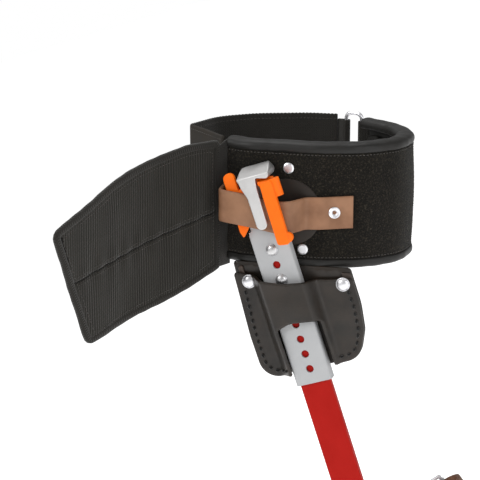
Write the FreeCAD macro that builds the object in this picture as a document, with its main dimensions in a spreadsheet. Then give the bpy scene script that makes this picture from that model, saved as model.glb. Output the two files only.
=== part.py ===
"""Tree climbing spur for one leg: stirrup bar with gaff, height sleeve and wrap-around calf cuff.

Row frame: millimetres, +Z up along the bar, +X across it, +Y towards the leg.
The origin is the middle of the stirrup's tread, where the boot stands.
The calf cuff is square to the leg, and the leg leans over the bar by the lean angle, so the
cuff's pieces are drawn upright about the sleeve's front face and then turned by that angle.
"""

import FreeCAD, Part
import math
import os

from FreeCAD import Placement, Rotation, Vector

DIMENSIONS = {
    # stirrup bar
    "bar_width": 25.4,
    "bar_thick": 6.35,
    "tread_gap": 92.0,
    "tread_width": 36.0,
    "tread_run": 52.0,
    "bar_bend": 14.0,
    "bar_top": 341.0,
    "toe_top": 70.0,
    # height adjustment
    "hole_pitch": 12.7,
    "hole_radius": 3.2,
    "hole_count": 9,
    "first_hole": 328.8,
    "screw_radius": 3.0,
    "screw_head_radius": 4.6,
    "screw_head_rise": 2.6,
    # sleeve
    "sleeve_width": 30.4,
    "sleeve_bottom": 215.0,
    "sleeve_top": 351.0,
    "sleeve_face": 1.85,
    "sleeve_lip": 1.8,
    "slide_play": 0.3,
    # cuff
    "lean": 18.25,
    "cuff_level": 360.0,
    "cuff_top": 55.6,
    "cuff_bottom": -45.8,
    "binding_rise": 7.6,
    "loop_skin": 1.6,
    "leather_skin": 2.0,
    "plate_thick": 1.5,
    "pad_thick": 13.5,
    "layer_gap": 0.05,
    "band_thick": 2.4,
    "ring_wire": 1.7,
    # retaining strap
    "strap_width": 26.3,
    "strap_thick": 2.8,
    # closure flap
    "flap_length": 182.0,
    "flap_edge": 6.0,
    "flap_thick": 3.6,
    "flap_heading": -120.0,
    # boot pocket
    "boot_leather": 2.6,
    "boot_welt": 2.0,
    # gaff
    "gaff_tang_thick": 5.0,
    "gaff_width": 22.0,
    "gaff_reach": 26.0,
    # ankle strap
    "ankle_width": 20.0,
    "ankle_thick": 2.6,
    "ankle_level": 50.0,
    "ankle_tilt": -20.0,
    "buckle_wire": 1.5,
    "roller_radius": 2.6,
}

doc = FreeCAD.newDocument("climbing_spur")
sheet = doc.addObject("Spreadsheet::Sheet", "dims")
for row, (alias, value) in enumerate(DIMENSIONS.items(), start=1):
    sheet.set(f"A{row}", alias.replace("_", " "))
    sheet.set(f"B{row}", str(value))
    sheet.setAlias(f"B{row}", alias)
doc.recompute()


def dim(alias):
    return float(sheet.get(alias))


# ---------------------------------------------------------------- shared places and frames

BAR_WIDTH = dim("bar_width")
BAR_THICK = dim("bar_thick")
INNER = dim("tread_gap") / 2
BAR_FRONT = -(INNER + BAR_THICK)
FACE_Y = BAR_FRONT - dim("slide_play") - dim("sleeve_face")
CUFF_LEVEL = dim("cuff_level")
HOLE_PITCH = dim("hole_pitch")
FIRST_HOLE = dim("first_hole")
GAP = dim("layer_gap")
TOP = dim("cuff_top")
BOTTOM = dim("cuff_bottom")
PAD_THICK = dim("pad_thick")
SCREW_LEVELS = [FIRST_HOLE, FIRST_HOLE - 2 * HOLE_PITCH]
LONG = 400.0

# The sleeve's own frame: x across, y away from its front face, z along the bar.
SLEEVE_FRAME = Placement(Vector(0, FACE_Y, CUFF_LEVEL), Rotation())
CUFF_FRAME = Placement(Vector(0, FACE_Y, CUFF_LEVEL), Rotation(Vector(0, 1, 0), dim("lean")))
CREASE = Vector(-34.0, 19.0, 0)
FLAP_FRAME = CUFF_FRAME * Placement(CREASE, Rotation(Vector(0, 0, 1), dim("flap_heading")))
ANKLE_FRAME = Placement(
    Vector(0, 0, dim("ankle_level")), Rotation(Vector(0, 1, 0), dim("ankle_tilt"))
)

parts = []


# ---------------------------------------------------------------- outline helpers


def turn_pieces(points, radii):
    """Straight runs joined by tangent arcs: ("line", p, q) or ("arc", centre, radius, a0, sweep)."""
    points = [Vector(p[0], p[1], 0) for p in points]
    runs = [(b - a).normalize() for a, b in zip(points, points[1:])]
    found = []
    here = points[0]
    for i, radius in enumerate(radii, start=1):
        before, after = runs[i - 1], runs[i]
        sweep = math.atan2(before.x * after.y - before.y * after.x, before.dot(after))
        cut = radius * math.tan(abs(sweep) / 2)
        start = points[i] - before * cut
        if (start - here).dot(before) < -1e-6:
            raise ValueError(f"the turn at {tuple(points[i])} is too wide for its run")
        side = math.copysign(1, sweep)
        left = Vector(-before.y, before.x, 0)
        centre = start + left * (radius * side)
        found.append(("line", here, start))
        found.append(("arc", centre, radius, math.atan2(start.y - centre.y, start.x - centre.x), sweep))
        here = points[i] + after * cut
    if (points[-1] - here).dot(runs[-1]) < -1e-6:
        raise ValueError(f"the turn before {tuple(points[-1])} is too wide for its run")
    found.append(("line", here, points[-1]))
    return found


def shifted(pieces, offset):
    """The same pieces moved sideways, left of their direction when offset is positive."""
    moved = []
    for piece in pieces:
        if piece[0] == "line":
            run = (piece[2] - piece[1]).normalize()
            left = Vector(-run.y, run.x, 0) * offset
            moved.append(("line", piece[1] + left, piece[2] + left))
        else:
            kind, centre, radius, start, sweep = piece
            moved.append((kind, centre, radius - offset * math.copysign(1, sweep), start, sweep))
    return moved


def ends(piece):
    if piece[0] == "line":
        return piece[1], piece[2]
    _, centre, radius, start, sweep = piece
    spot = [Vector(math.cos(a), math.sin(a), 0) * radius + centre for a in (start, start + sweep)]
    return spot[0], spot[1]


def curve(piece):
    if piece[0] == "line":
        return Part.LineSegment(piece[1], piece[2])
    _, centre, radius, start, sweep = piece
    low, high = min(start, start + sweep), max(start, start + sweep)
    return Part.ArcOfCircle(Part.Circle(centre, Vector(0, 0, 1), radius), low, high)


def ribbon(points, radii, near, far):
    """Closed outline between two sideways shifts of one path."""
    path = turn_pieces(points, radii)
    one, other = shifted(path, near), shifted(path, far)
    outline = [curve(piece) for piece in one + other]
    outline.append(Part.LineSegment(ends(one[0])[0], ends(other[0])[0]))
    outline.append(Part.LineSegment(ends(one[-1])[1], ends(other[-1])[1]))
    return outline


def rounded(points, radii):
    """Closed outline through the corners, each rounded by its radius, or sharp at 0."""
    count = len(points)
    if not isinstance(radii, (list, tuple)):
        radii = [radii] * count
    middle = [(points[0][0] + points[-1][0]) / 2, (points[0][1] + points[-1][1]) / 2]
    pieces = turn_pieces([middle] + list(points) + [middle], radii)
    return [curve(p) for p in pieces if p[0] == "line" or p[2] > 0]


def circle(x, y, radius):
    return [Part.Circle(Vector(x, y, 0), Vector(0, 0, 1), radius)]


def box_outline(x0, y0, x1, y1, radius=0):
    return rounded([(x0, y0), (x1, y0), (x1, y1), (x0, y1)], radius)


# ---------------------------------------------------------------- feature helpers


class Piece:
    """One PartDesign body, with short calls for its sketches and features."""

    def __init__(self, label, frame=None):
        self.body = doc.addObject("PartDesign::Body", label)
        self.body.Label = label
        self.body.Placement = frame or Placement()
        self.count = 0
        parts.append(self.body)

    def sketch(self, plane, outlines, offset=0.0):
        self.count += 1
        made = self.body.newObject("Sketcher::SketchObject", f"{self.body.Label}_sketch{self.count}")
        origin = next(f for f in self.body.Origin.OriginFeatures if f.Role == plane)
        made.AttachmentSupport = [(origin, "")]
        made.MapMode = "FlatFace"
        made.AttachmentOffset = Placement(Vector(0, 0, offset), Rotation())
        for outline in outlines:
            for geometry in outline:
                made.addGeometry(geometry, False)
        return made

    def pad(self, plane, outlines, offset, length, symmetric=False, reverse=False):
        feature = self.body.newObject("PartDesign::Pad", f"{self.body.Label}_pad{self.count + 1}")
        feature.Profile = self.sketch(plane, outlines, offset)
        feature.SideType = "Symmetric" if symmetric else "One side"
        feature.Reversed = reverse
        if isinstance(length, str):
            feature.setExpression("Length", length)
        else:
            feature.Length = length
        self.body.Tip = feature
        doc.recompute()
        return feature

    def pocket(self, plane, outlines, offset=0.0, length=None, reverse=False):
        before = self.body.Shape.Volume
        feature = self.body.newObject("PartDesign::Pocket", f"{self.body.Label}_cut{self.count + 1}")
        feature.Profile = self.sketch(plane, outlines, offset)
        if length is None:
            feature.Type = "ThroughAll"
            feature.SideType = "Symmetric"
        else:
            feature.Length = length
            feature.Reversed = not reverse
        self.body.Tip = feature
        doc.recompute()
        if self.body.Shape.Volume >= before - 1e-6:
            raise RuntimeError(f"{self.body.Label}: a pocket removed nothing")
        return feature

    def edge_round(self, radius, wanted):
        """Round the edges of the current shape that the test picks by their middle point."""
        tip = self.body.Tip
        local = tip.Shape.copy()
        names = [
            f"Edge{i}" for i, edge in enumerate(local.Edges, start=1)
            if wanted(edge, edge.CenterOfMass)
        ]
        feature = self.body.newObject("PartDesign::Fillet", f"{self.body.Label}_fillet")
        feature.Base = (tip, names)
        feature.Radius = radius
        self.body.Tip = feature
        doc.recompute()
        return feature


def part_feature(label, shape, frame=None):
    feature = doc.addObject("Part::Feature", label)
    feature.Label = label
    own_place = shape.Placement
    feature.Shape = shape
    feature.Placement = (frame or Placement()) * own_place
    parts.append(feature)
    return feature


def primitive(kind, place, **bound):
    """A Part primitive whose sizes are expressions on the sheet or plain numbers."""
    feature = doc.addObject(f"Part::{kind}", kind.lower())
    for name, size in bound.items():
        if isinstance(size, str):
            feature.setExpression(name, size)
        else:
            setattr(feature, name, size)
    feature.Placement = place
    return feature


def joined(label, features, frame):
    """One labelled sub-part fused from primitives."""
    group = doc.addObject("Part::MultiFuse", label)
    group.Label = label
    group.Shapes = features
    group.Placement = frame
    parts.append(group)
    return group


TOWARDS_LEG = Rotation(Vector(1, 0, 0), -90)
TOWARDS_FRONT = Rotation(Vector(1, 0, 0), 90)


def lathe(profile, spot, turn):
    """Solid of revolution from (radius, height) points, its axis turned from +Z."""
    wire = Part.makePolygon([Vector(r, 0, z) for r, z in profile + profile[:1]])
    solid = Part.Face(wire).revolve(Vector(), Vector(0, 0, 1), 360)
    solid.Placement = Placement(Vector(*spot), turn)
    return solid


def domed_head(radius, rise):
    """Profile points of a low dome from its rim to its top."""
    steps = 6
    return [
        (radius * math.cos(math.pi / 2 * i / steps), rise * math.sin(math.pi / 2 * i / steps))
        for i in range(steps)
    ] + [(0, rise)]


# ---------------------------------------------------------------- stirrup bar and gaff

GAFF_SCREW_LEVELS = [96.0, 70.0]


def make_leg_iron():
    """Flat bar: shank down the leg's inner side, heel bend, tread, upturned outer end."""
    centre = INNER + BAR_THICK / 2
    middle_z = -BAR_THICK / 2
    route = [(-centre, dim("bar_top")), (-centre, middle_z), (centre, middle_z), (centre, dim("toe_top"))]
    iron = Piece("leg_iron")
    outline = ribbon(route, [dim("bar_bend")] * 2, -BAR_THICK / 2, BAR_THICK / 2)
    iron.pad("YZ_Plane", [outline], 0, "dims.bar_width", symmetric=True)
    half_run = dim("tread_run") / 2
    half_width = dim("tread_width") / 2
    bar_half = BAR_WIDTH / 2
    plate = [
        (-bar_half, -half_run - 8), (bar_half, -half_run - 8), (half_width, -half_run + 4),
        (half_width, half_run - 4), (bar_half, half_run + 8), (-bar_half, half_run + 8),
        (-half_width, half_run - 4), (-half_width, -half_run + 4),
    ]
    iron.pad("XY_Plane", [rounded(plate, [0, 0, 6, 6, 0, 0, 6, 6])], 0, "dims.bar_thick", reverse=True)
    for x in (-1, 1):
        corner = [(x * bar_half, dim("toe_top")), (x * (bar_half - 6), dim("toe_top")),
                  (x * bar_half, dim("toe_top") - 6)]
        iron.pocket("XZ_Plane", [rounded(corner, 0)])
    holes = [circle(0, level, dim("screw_radius") + 0.1) for level in SCREW_LEVELS]
    holes += [circle(0, level, 3.2) for level in GAFF_SCREW_LEVELS]
    iron.pocket("XZ_Plane", holes, offset=INNER - 1, length=BAR_THICK + 3)
    iron.edge_round(1.2, lambda e, c: e.Length > 120 and abs(abs(c.x) - bar_half) < 0.01 and c.z > 60)


def make_gaff():
    """Tree gaff: a tang against the shank's outer face and a tapering spike below it."""
    back = BAR_FRONT - 0.05
    front = back - dim("gaff_tang_thick")
    tip_y = back - dim("gaff_reach")
    gaff = Piece("gaff")
    side = [
        (back, 108), (back, 44), (back - 9, 26), (tip_y + 0.8, -12), (tip_y - 0.8, -12),
        (front - 12, 34), (front - 5, 50), (front, 58), (front, 104),
    ]
    gaff.pad("YZ_Plane", [rounded(side, [0, 3, 20, 0.4, 0.4, 40, 10, 10, 2])], 0,
             "dims.gaff_width", symmetric=True)
    for x in (-1, 1):
        trim = [(x * 20, 52), (x * 11, 52), (x * 7.5, 40), (x * 1.6, -13), (x * 20, -13)]
        gaff.pocket("XZ_Plane", [rounded(trim, 0)])
        shoulder = [(x * 12, 109), (x * 6, 109), (x * 12, 101)]
        gaff.pocket("XZ_Plane", [rounded(shoulder, 0)])
    holes = [circle(0, level, 3.2) for level in GAFF_SCREW_LEVELS]
    gaff.pocket("XZ_Plane", holes)
    recess = [circle(0, level, 5.4) for level in GAFF_SCREW_LEVELS]
    gaff.pocket("XZ_Plane", recess, offset=-front - 2.2, length=30)


def make_gaff_screws():
    seat = BAR_FRONT - 0.05 - dim("gaff_tang_thick") + 2.2 - 0.02
    profile = [(0, -9.0), (3.1, -9.0), (3.1, 0), (5.0, 0), (5.0, 3.2), (4.4, 3.8), (2.2, 3.8), (2.2, 1.6), (0, 1.6)]
    screws = [lathe(profile, (0, seat, level), TOWARDS_FRONT) for level in GAFF_SCREW_LEVELS]
    part_feature("gaff_screws", Part.makeCompound(screws))


def make_adjuster_screws():
    """Two screws through the sleeve's front face into the shank's tapped holes."""
    shaft = dim("screw_radius")
    reach = dim("sleeve_face") + dim("slide_play") + BAR_THICK + 0.15
    head = domed_head(dim("screw_head_radius"), dim("screw_head_rise"))
    profile = [(0, -reach), (shaft, -reach), (shaft, 0)] + head
    screws = [lathe(profile, (0, FACE_Y - 0.15, level), TOWARDS_FRONT) for level in SCREW_LEVELS]
    part_feature("adjuster_screws", Part.makeCompound(screws))


# ---------------------------------------------------------------- sleeve, strap hook, strap guard


def make_sleeve():
    """Folded channel round the shank, with a row of adjusting holes and open at the back."""
    half = dim("sleeve_width") / 2
    face = dim("sleeve_face")
    inner_x = BAR_WIDTH / 2 + 0.35
    depth = face + BAR_THICK + 2 * dim("slide_play")
    lip = dim("sleeve_lip")
    bottom = dim("sleeve_bottom") - CUFF_LEVEL
    sleeve = Piece("sleeve", SLEEVE_FRAME)
    channel = [
        (-half, 0), (half, 0), (half, depth + lip), (inner_x - 5, depth + lip), (inner_x - 5, depth),
        (inner_x, depth), (inner_x, face), (-inner_x, face), (-inner_x, depth),
        (-inner_x + 5, depth), (-inner_x + 5, depth + lip), (-half, depth + lip),
    ]
    outline = rounded(channel, [2.2, 2.2, 2.2, 0, 0, 0.3, 0.3, 0.3, 0.3, 0, 0, 2.2])
    sleeve.pad("XY_Plane", [outline], bottom, "dims.sleeve_top - dims.sleeve_bottom")
    top = dim("sleeve_top") - CUFF_LEVEL
    for x in (-1, 1):
        shoulder = [(x * (half + 1), top + 1), (x * 8, top + 1), (x * 8, top), (x * (half + 1), top - 8)]
        sleeve.pocket("XZ_Plane", [rounded(shoulder, 0)])
    first = FIRST_HOLE - CUFF_LEVEL
    before = sleeve.body.Shape.Volume
    hole = sleeve.pocket("XZ_Plane", [circle(0, first, dim("hole_radius"))], offset=-face - 1, length=face + 3)
    pattern = sleeve.body.newObject("PartDesign::LinearPattern", "adjusting_holes")
    pattern.Originals = [hole]
    pattern.Direction = (hole.Profile[0], ["V_Axis"])
    pattern.Reversed = True
    pattern.setExpression("Occurrences", "dims.hole_count")
    pattern.setExpression("Length", "dims.hole_pitch * (dims.hole_count - 1)")
    sleeve.body.Tip = pattern
    doc.recompute()
    one_hole = math.pi * dim("hole_radius") ** 2 * face
    if before - sleeve.body.Shape.Volume < (dim("hole_count") - 0.5) * one_hole:
        raise RuntimeError("sleeve: the row of holes is short")


def make_strap_hook():
    """Cast hook: a plug in the sleeve's top, a neck behind the strap, a head and a tongue in front."""
    hook = Piece("strap_hook", SLEEVE_FRAME)
    plug_back = dim("sleeve_face") + BAR_THICK + 2 * dim("slide_play") - 0.05
    hook.pad("XZ_Plane", [box_outline(-12.6, -17.5, 12.6, -8.8)], -plug_back, plug_back - dim("sleeve_face") - 0.05)
    neck = [(-7.4, -8.9), (7.4, -8.9), (9, 2), (9, 32), (-6.5, 32), (-7.4, 2)]
    hook.pad("XZ_Plane", [rounded(neck, [0, 0, 4, 0, 0, 4])], -plug_back, plug_back + 0.9)
    head = [(-6.5, 29.3), (10, 29.3), (18.6, 26.8), (20.6, 31.8), (16.9, 38.4), (-6.5, 37.0)]
    hook.pad("XZ_Plane", [rounded(head, [1.5, 3, 2.5, 4, 3, 2])], -plug_back, plug_back + 13.0)
    tongue = [(-6.0, 30), (-5.2, 24.5), (-2.4, 16), (-2.0, -11.5), (6.8, -11.5), (7.4, 20), (8.6, 30)]
    hook.pad("XZ_Plane", [rounded(tongue, [0, 3, 6, 4.3, 4.3, 0, 0])], 8.9, 4.1)
    slope = [(-14.0, 31.6), (9.5, 37.6), (9.5, 50.0), (-14.0, 50.0)]
    hook.pocket("YZ_Plane", [rounded(slope, 0)])


def make_strap_guard():
    """Moulded guard: one bar behind the strap, one in front of it, joined above the strap."""
    guard = Piece("strap_guard", SLEEVE_FRAME)
    left = [(-19.2, 37.5), (-19.2, -10.5), (-17.6, -15.6), (-9.8, -7.0), (-9.8, 37.5)]
    guard.pad("XZ_Plane", [rounded(left, [4.4, 3, 0.8, 3, 4.4])], 1.2, 4.1)
    cross = [(-12, 20), (-12, 14), (-4, 19), (2, 22.6), (20.2, 22.6), (20.2, 26.2), (10, 28.4), (-1, 28.4)]
    guard.pad("XZ_Plane", [rounded(cross, 0)], 1.2, 4.1)
    block = [(9.2, 26.1), (9.2, 22.6), (20.2, 22.6), (20.2, 25.6)]
    guard.pad("XZ_Plane", [rounded(block, 0)], 4.0, 8.6)
    right = [(10.5, 25.2), (10.0, -26.6), (20.2, -28.0), (20.8, 24.6)]
    guard.pad("XZ_Plane", [rounded(right, [2, 2.5, 2.5, 2])], 8.9, 4.6)
    guard.pad("XY_Plane", [circle(22.4, -8.4, 3.7)], 11.0, 14.6)
    guard.pad("XZ_Plane", [circle(19.6, -22.4, 4.2)], 8.9, 3.6)


def make_hook_pin():
    """Cross pin that holds the hook's plug in the sleeve."""
    pin = Piece("hook_pin", SLEEVE_FRAME)
    pin.pad("YZ_Plane", [circle(5.3, -14.5, 1.5)], 0, "dims.sleeve_width", symmetric=True)


# ---------------------------------------------------------------- calf cuff

CUFF_ROUTE = [(-33.2, 19.0), (-14.0, 11.8), (46.0, 11.8), (80.0, 22.0), (105.0, 46.0), (109.5, 78.0),
              (95.0, 108.0), (63.0, 129.5)]
CUFF_TURNS = [30.0, 40.0, 55.0, 40.0, 40.0, 55.0]
STIFFENER_ROUTE = [(-20.0, 14.05), (-14.0, 11.8), (46.0, 11.8), (80.0, 22.0), (96.0, 37.36)]
STIFFENER_TURNS = [30.0, 40.0, 55.0]
DISC_ROUTE = [(-8.2, 11.8), (46.0, 11.8), (60.0, 16.0)]
BAND_ROUTE = [(32.4, 138.0), (8.0, 137.0), (-36.0, 122.0), (-63.0, 101.0), (-76.0, 64.5)]
BAND_TURNS = [60.0, 60.0, 45.0]
RING_SPOT = Vector(47.5, 133.5, 0)
RING_TURN = -16.0


def cuff_layer(label, near, far, low, high, route=None, turns=None):
    """One layer of the cuff: a ribbon between two depths of its wall, from low to high."""
    layer = Piece(label, CUFF_FRAME)
    outline = ribbon(route or CUFF_ROUTE, CUFF_TURNS if turns is None else turns, near, far)
    layer.pad("XY_Plane", [outline], low, high - low)
    return layer


def make_cuff():
    skin = dim("loop_skin")
    leather = dim("leather_skin")
    plate = dim("plate_thick")
    rise = dim("binding_rise")
    low = BOTTOM + rise
    high = TOP - rise
    cuff_layer("loop_panel", 0, skin, low + GAP, high - GAP)
    shell_in = skin + GAP + leather
    cuff_layer("cuff_shell", skin + GAP, shell_in, low + GAP, high - GAP)
    plate_in = shell_in + GAP + plate
    cuff_layer("stiffener_plate", shell_in + GAP, plate_in, low + 8, high - 8,
               STIFFENER_ROUTE, STIFFENER_TURNS)
    lining_out = PAD_THICK - leather
    cuff_layer("cuff_padding", plate_in + GAP, lining_out - GAP, low + GAP, high - GAP)
    cuff_layer("cuff_lining", lining_out, PAD_THICK, low + GAP, high - GAP)
    for label, start in (("upper_binding", high), ("lower_binding", BOTTOM)):
        binding = cuff_layer(label, -0.4, PAD_THICK + 0.4, start, start + rise)
        outer = start + rise if label == "upper_binding" else start
        binding.edge_round(2.5, lambda e, c, z=outer: abs(c.z - z) < 0.01 and e.Length > 15)


def make_wear_disc():
    """Thin smooth disc on the cuff's face, behind the strap hook."""
    disc = cuff_layer("wear_disc", -0.9, -GAP, -30, 30, DISC_ROUTE, [40.0])
    disc.pocket("XZ_Plane", [circle(20.0, -0.7, 27.0), box_outline(-60, -60, 140, 60)], offset=-60,
                length=120)


def make_pad_rivets():
    """Flat rivets that hold the stiffener plate to the face."""
    depth = dim("loop_skin") + dim("leather_skin") + dim("plate_thick")
    profile = [(0, -depth), (1.6, -depth), (1.6, 0.05), (4.3, 0.05), (4.3, 0.5), (3.2, 1.1), (0, 1.1)]
    rivets = [lathe(profile, (x, 11.8, z), TOWARDS_FRONT) for x, z in ((20.2, 35.0), (32.0, -30.5))]
    part_feature("pad_rivets", Part.makeCompound(rivets), CUFF_FRAME)


STRAP_ROUTE = [(-32.6, 16.0), (-31.2, -7.1), (25.0, -7.1), (35.0, 9.3), (47.0, 9.3), (71.5, 16.65)]
STRAP_TURNS = [3.6, 7.0, 5.5, 12.0]


def make_retaining_strap():
    """Leather strap: from the crease forward over the guard, behind the tongue, back to the face."""
    half = dim("strap_thick") / 2
    strap = Piece("retaining_strap", CUFF_FRAME)
    outline = ribbon(STRAP_ROUTE, STRAP_TURNS, -half, half)
    strap.pad("XY_Plane", [outline], -14.5, 35.0)
    edge = dim("strap_width")
    above = [(-40, 22), (80, 22), (80, 15.0), (16, 12.0), (-8, 16.2), (-33, 19.6), (-40, 19.6)]
    below = [(x, z - edge) for x, z in above[2:]] + [(-40, -30), (80, -30)]
    strap.pocket("XZ_Plane", [rounded(above, 0)])
    strap.pocket("XZ_Plane", [rounded(below, 0)])


def make_strap_rivet():
    """Tubular rivet through the strap's free end."""
    profile = [(1.5, -7.2), (2.4, -7.2), (2.4, 0.02), (4.6, 0.02), (4.6, 0.7), (3.8, 1.2), (2.2, 0.9), (1.5, 0.2)]
    slope = Rotation(Vector(0, 0, 1), 16.7)
    rivet = lathe(profile, (0, 0, 0), TOWARDS_FRONT)
    part_feature("strap_rivet", rivet, CUFF_FRAME * Placement(Vector(57.7, 11.05, 1.3), slope))


def make_closure_side():
    """Back band, metal ring, the cuff's ring loop and the short side panel up to the crease."""
    thick = dim("band_thick")
    cuff_layer("back_band", 0, thick, BOTTOM + 2, TOP, BAND_ROUTE, BAND_TURNS)
    panel = [(-75.2, 60.6), (-37.2, 22.2)]
    cuff_layer("side_panel", 0, 3.2, BOTTOM, TOP, panel, [])
    wire = dim("ring_wire")
    half_wide = 7.3
    low, high = BOTTOM + 0.5, TOP + 1.6
    corners = rounded([(-half_wide, low), (half_wide, low), (half_wide, high), (-half_wide, high)], 5.0)
    edges = [g.toShape() for g in corners]
    upright = Placement(Vector(), Rotation(Vector(1, 0, 0), 90))
    spine = Part.Wire(Part.__sortEdges__([e.transformed(upright.toMatrix()) for e in edges]))
    start = spine.Edges[0].valueAt(spine.Edges[0].FirstParameter)
    along = spine.Edges[0].tangentAt(spine.Edges[0].FirstParameter)
    profile = Part.Wire(Part.makeCircle(wire, start, along))
    solid = spine.makePipeShell([profile], True, True)
    place = CUFF_FRAME * Placement(RING_SPOT, Rotation(Vector(0, 0, 1), RING_TURN))
    part_feature("back_ring", solid, place)
    ring_wrap("band_fold", -half_wide, (33.0, 137.9))
    ring_wrap("cuff_tail", half_wide, (61.8, 129.1))


def ring_wrap(label, across, anchor):
    """Fold of webbing round one leg of the ring, with a flat tongue towards its own side."""
    inner = dim("ring_wire") + 0.12
    leg = Placement(RING_SPOT, Rotation(Vector(0, 0, 1), RING_TURN)).multVec(Vector(across, 0, 0))
    low, high = BOTTOM + 7, TOP - 4.5
    wrap = Piece(label, CUFF_FRAME)
    wrap.pad("XY_Plane", [circle(leg.x, leg.y, inner + 2.0), circle(leg.x, leg.y, inner)], low, high - low)
    start = leg + (Vector(*anchor, 0) - leg).normalize() * (inner + 0.6)
    tongue = ribbon([(start.x, start.y), anchor], [], -1.2, 1.2)
    wrap.pad("XY_Plane", [tongue], low, high - low)


# ---------------------------------------------------------------- closure flap

FLAP_TOP = [(7.0, 54.6), (40.0, 55.0), (100.0, 42.5), (180.0, 9.5)]
FLAP_BOTTOM = [(148.0, -85.5), (100.0, -75.5), (50.0, -65.5), (7.0, -51.2)]
FLAP_BOW = [(2.5, 0.0), (90.0, -9.0), (182.0, 0.0)]
FLAP_BOW_TURN = [190.0]


def flap_outline(inset):
    """Elevation of the flap, its four corners drawn in by the inset."""
    top = [(x, z - inset) for x, z in FLAP_TOP]
    bottom = [(x, z + inset) for x, z in FLAP_BOTTOM]
    top[0] = (top[0][0] + inset, top[0][1])
    bottom[-1] = (bottom[-1][0] + inset, bottom[-1][1])
    top[-1] = (top[-1][0] - inset, top[-1][1] + inset * 0.35)
    bottom[0] = (bottom[0][0] - inset, bottom[0][1])
    return rounded(top + bottom, [1.5, 90, 160, 4, 4, 200, 90, 1.5])


def flap_piece(label, near, far, keep, hollow=None):
    """Bowed sheet between two depths, cut to the outlines in elevation."""
    piece = Piece(label, FLAP_FRAME)
    piece.pad("XY_Plane", [ribbon(FLAP_BOW, FLAP_BOW_TURN, near, far)], -100, 170)
    frame = box_outline(-30, -120, 230, 90)
    piece.pocket("XZ_Plane", [frame, keep])
    if hollow:
        piece.pocket("XZ_Plane", [hollow])
    return piece


def tape_outline(top_start, top_end, bottom_end, bottom_start):
    return rounded([top_start, top_end, bottom_end, bottom_start], [1.0] * 4)


def make_flap():
    edge = dim("flap_edge")
    thick = dim("flap_thick")
    flap_piece("flap_backing", 0, thick / 2, flap_outline(edge + GAP))
    flap_piece("flap_binding", -0.3, thick + 0.3, flap_outline(0), flap_outline(edge))
    upper = tape_outline((14, 46), (168, 4.5), (155.5, -31), (14, -1.9))
    lower = tape_outline((14, -4.4), (154.5, -33.5), (141, -72), (14, -44.6))
    flap_piece("hook_tape_upper", thick / 2 + GAP, thick, upper)
    flap_piece("hook_tape_lower", thick / 2 + GAP, thick, lower)


# ---------------------------------------------------------------- boot pocket below the cuff

BACK_TOP = [(53.5, -67.1), (-35.0, -38.0)]
FRONT_TOP = [(53.5, -71.0), (34.0, -67.3), (18.0, -62.4), (2.0, -59.5), (-14.0, -53.8), (-25.0, -48.4),
             (-36.0, -43.5)]


def boot_outline(top, turns):
    """Front elevation: a top edge from right to left, and rounded bottom corners."""
    corners = top + [(-38.0, -97.0), (-37.0, -132.8), (40.5, -132.8), (50.0, -113.0), (53.5, -93.0)]
    return rounded(corners, turns + [60, 15, 16, 14, 30])


NOTCH = [(-14.5, -150.0), (-14.5, -94.5), (-3.0, -91.0), (19.6, -94.5), (19.6, -150.0)]


def make_boot():
    leather = dim("boot_leather")
    welt = dim("boot_welt")
    back_y = 11.0
    front_y = back_y - welt - 2 * GAP
    back = Piece("boot_back", SLEEVE_FRAME)
    back.pad("XZ_Plane", [boot_outline(BACK_TOP, [2, 2])], -back_y - leather, leather)
    strip = Piece("boot_welt", SLEEVE_FRAME)
    strip.pad("XZ_Plane", [boot_outline(BACK_TOP, [2, 2])], -back_y + GAP, welt)
    inside = [(-30.5, -20.0), (-31.0, -97.0), (-29.5, -125.6), (35.0, -125.6), (43.0, -110.0),
              (46.0, -93.0), (46.0, -20.0)]
    strip.pocket("XZ_Plane", [rounded(inside, [0, 40, 9, 10, 10, 20, 0])])
    strip.pocket("XZ_Plane", [box_outline(-16.0, -150.0, 20.0, -124.0)])
    front = Piece("boot_front", SLEEVE_FRAME)
    half = leather / 2
    over = front_y - half
    crown = -4.4 - half
    route = [(-40.0, over), (-21.5, over), (-17.8, crown), (18.2, crown), (22.0, over), (56.0, over)]
    front.pad("XY_Plane", [ribbon(route, [4.0, 4.0, 4.0, 4.0], -half, half)], -136, 106)
    frame = box_outline(-70, -160, 80, -10)
    front.pocket("XZ_Plane", [frame, boot_outline(FRONT_TOP, [2, 20, 20, 30, 30, 30, 2])])
    front.pocket("XZ_Plane", [rounded(NOTCH, [0, 5, 18, 5, 0])])
    dome = domed_head(5.3, 2.6)
    seat = front_y - leather
    reach = 2 * leather + welt + 2 * GAP
    profile = [(0, -reach - 1.0), (4.0, -reach - 1.0), (4.0, -reach), (2.0, -reach), (2.0, 0)] + dome
    spots = [(-28.4, -52.5), (45.6, -73.5)]
    rivets = [lathe(profile, (x, seat - 0.02, z), TOWARDS_FRONT) for x, z in spots]
    part_feature("boot_rivets", Part.makeCompound(rivets), SLEEVE_FRAME)


# ---------------------------------------------------------------- ankle strap and its buckle

ANKLE_SIDE = 43.9
ANKLE_TAIL = 52.7
HEEL_BAR = (34.0, 48.6)
ROLLER_BAR = (56.0, 48.6)
ANKLE_ROUTE = [
    (30.0, ANKLE_SIDE), (-50.0, ANKLE_SIDE), (-50.0, -ANKLE_SIDE), (78.0, -ANKLE_SIDE),
    (78.0, ANKLE_SIDE), (53.0, ANKLE_SIDE), (42.0, ANKLE_TAIL), (18.0, ANKLE_TAIL),
]
ANKLE_TURNS = [36.0, 36.0, 36.0, 20.0, 9.0, 9.0]


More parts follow.
